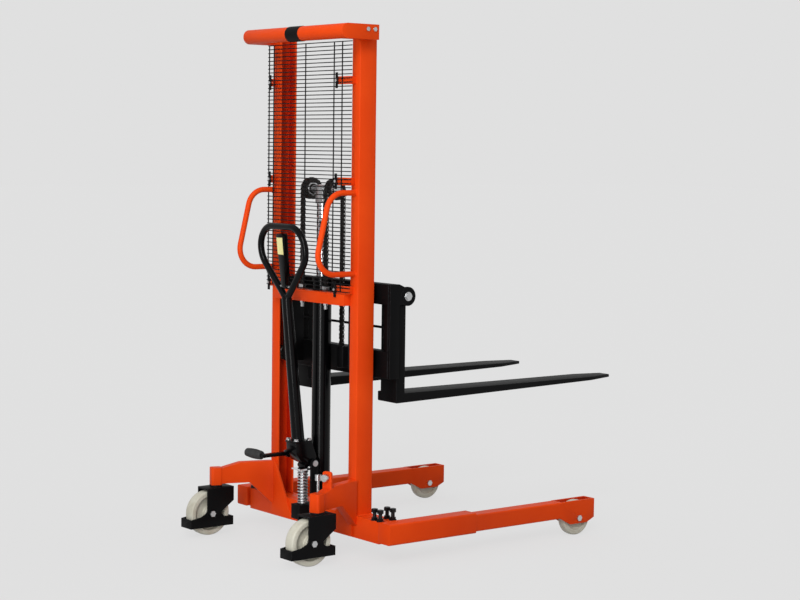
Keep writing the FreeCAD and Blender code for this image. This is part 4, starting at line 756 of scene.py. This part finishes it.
def buildStage(look):
    mesh = bmesh.new()
    bmesh.ops.create_grid(mesh, x_segments=2, y_segments=2, size=look["floorSize"])
    data = bpy.data.meshes.new("studioFloor")
    mesh.to_mesh(data)
    mesh.free()
    floor = bpy.data.objects.new("studioFloor", data)
    scene.collection.objects.link(floor)
    material = bpy.data.materials.new("studioPaper")
    material.use_nodes = True
    tree = material.node_tree
    tree.nodes.clear()
    share = addNode(tree, "ShaderNodeMath", {"operation": "MULTIPLY"}, {
        0: seenRays(tree), 1: look["floorGlowShare"]}).outputs["Value"]
    paper = addNode(tree, "ShaderNodeBsdfDiffuse", {}, {"Color": linear(look["floorTone"])}).outputs["BSDF"]
    glow = addNode(tree, "ShaderNodeEmission", {}, {"Color": linear(look["floorGlow"]), "Strength": 1.0}).outputs[0]
    mix = addNode(tree, "ShaderNodeMixShader", {}, {0: share, 1: paper, 2: glow}).outputs[0]
    addNode(tree, "ShaderNodeOutputMaterial", {}, {"Surface": mix})
    data.materials.append(material)
    world = bpy.data.worlds.new("studioWorld")
    world.use_nodes = True
    tree = world.node_tree
    tree.nodes.clear()
    heading = addNode(tree, "ShaderNodeTexCoord", {}, {}).outputs["Generated"]
    height = addNode(tree, "ShaderNodeSeparateXYZ", {}, {0: heading}).outputs["Z"]
    level = addNode(tree, "ShaderNodeMapRange", {"interpolation_type": "SMOOTHSTEP"}, {
        "Value": height, "From Min": look["glowHeights"][0], "From Max": look["glowHeights"][1],
        "To Min": look["sideGlow"], "To Max": look["topGlow"]}).outputs["Result"]
    light = addNode(tree, "ShaderNodeBackground", {}, {"Color": (1, 1, 1, 1), "Strength": level}).outputs[0]
    wall = addNode(tree, "ShaderNodeBackground", {}, {"Color": linear(look["backdrop"]), "Strength": 1.0}).outputs[0]
    mix = addNode(tree, "ShaderNodeMixShader", {}, {0: seenRays(tree), 1: light, 2: wall}).outputs[0]
    addNode(tree, "ShaderNodeOutputWorld", {}, {"Surface": mix})
    scene.world = world
    lamp = bpy.data.lights.new("broadSun", "SUN")
    lamp.energy = look["sunStrength"]
    lamp.angle = math.radians(look["sunSpread"])
    sun = bpy.data.objects.new("broadSun", lamp)
    sun.rotation_euler = Vector(look["sunHeading"]).to_track_quat("-Z", "Y").to_euler()
    scene.collection.objects.link(sun)
    box = bpy.data.lights.new("softBox", "AREA")
    box.shape = "RECTANGLE"
    box.size, box.size_y = look["boxSize"]
    box.energy = look["boxPower"]
    box.spread = math.radians(look["boxSpread"])
    panel = bpy.data.objects.new("softBox", box)
    panel.location = Vector(look["boxSpot"]) + Vector((mastX, 0, 0))
    panel.rotation_euler = Vector(look["boxHeading"]).to_track_quat("-Z", "Y").to_euler()
    panel.visible_camera = False
    scene.collection.objects.link(panel)


# Camera solved from the straight edges of the photo: tipped a little down and slightly rolled.
cameraLook = {"spot": (-4.2819, -6.0424, 1.5622), "forward": (0.61313, 0.78593, -0.07987), "roll": 0.01267,
              "lens": 84.696, "sensor": 36, "far": 200}


def addCamera(look):
    lens = bpy.data.cameras.new("photoCamera")
    lens.lens = look["lens"]
    lens.sensor_width = look["sensor"]
    lens.clip_end = look["far"]
    camera = bpy.data.objects.new("photoCamera", lens)
    ahead = Vector(look["forward"]).normalized()
    level = ahead.cross(Vector((0, 0, 1))).normalized()
    right = level * math.cos(look["roll"]) + level.cross(ahead) * math.sin(look["roll"])
    up = right.cross(ahead)
    turn = Matrix((right, up, -ahead)).transposed().to_4x4()
    camera.matrix_world = Matrix.Translation(Vector(look["spot"]) + Vector((mastX, 0, 0))) @ turn
    scene.collection.objects.link(camera)
    scene.camera = camera


buildStage(stageLook)
addCamera(cameraLook)
scene.view_settings.view_transform = "Standard"
print("stage and camera set")
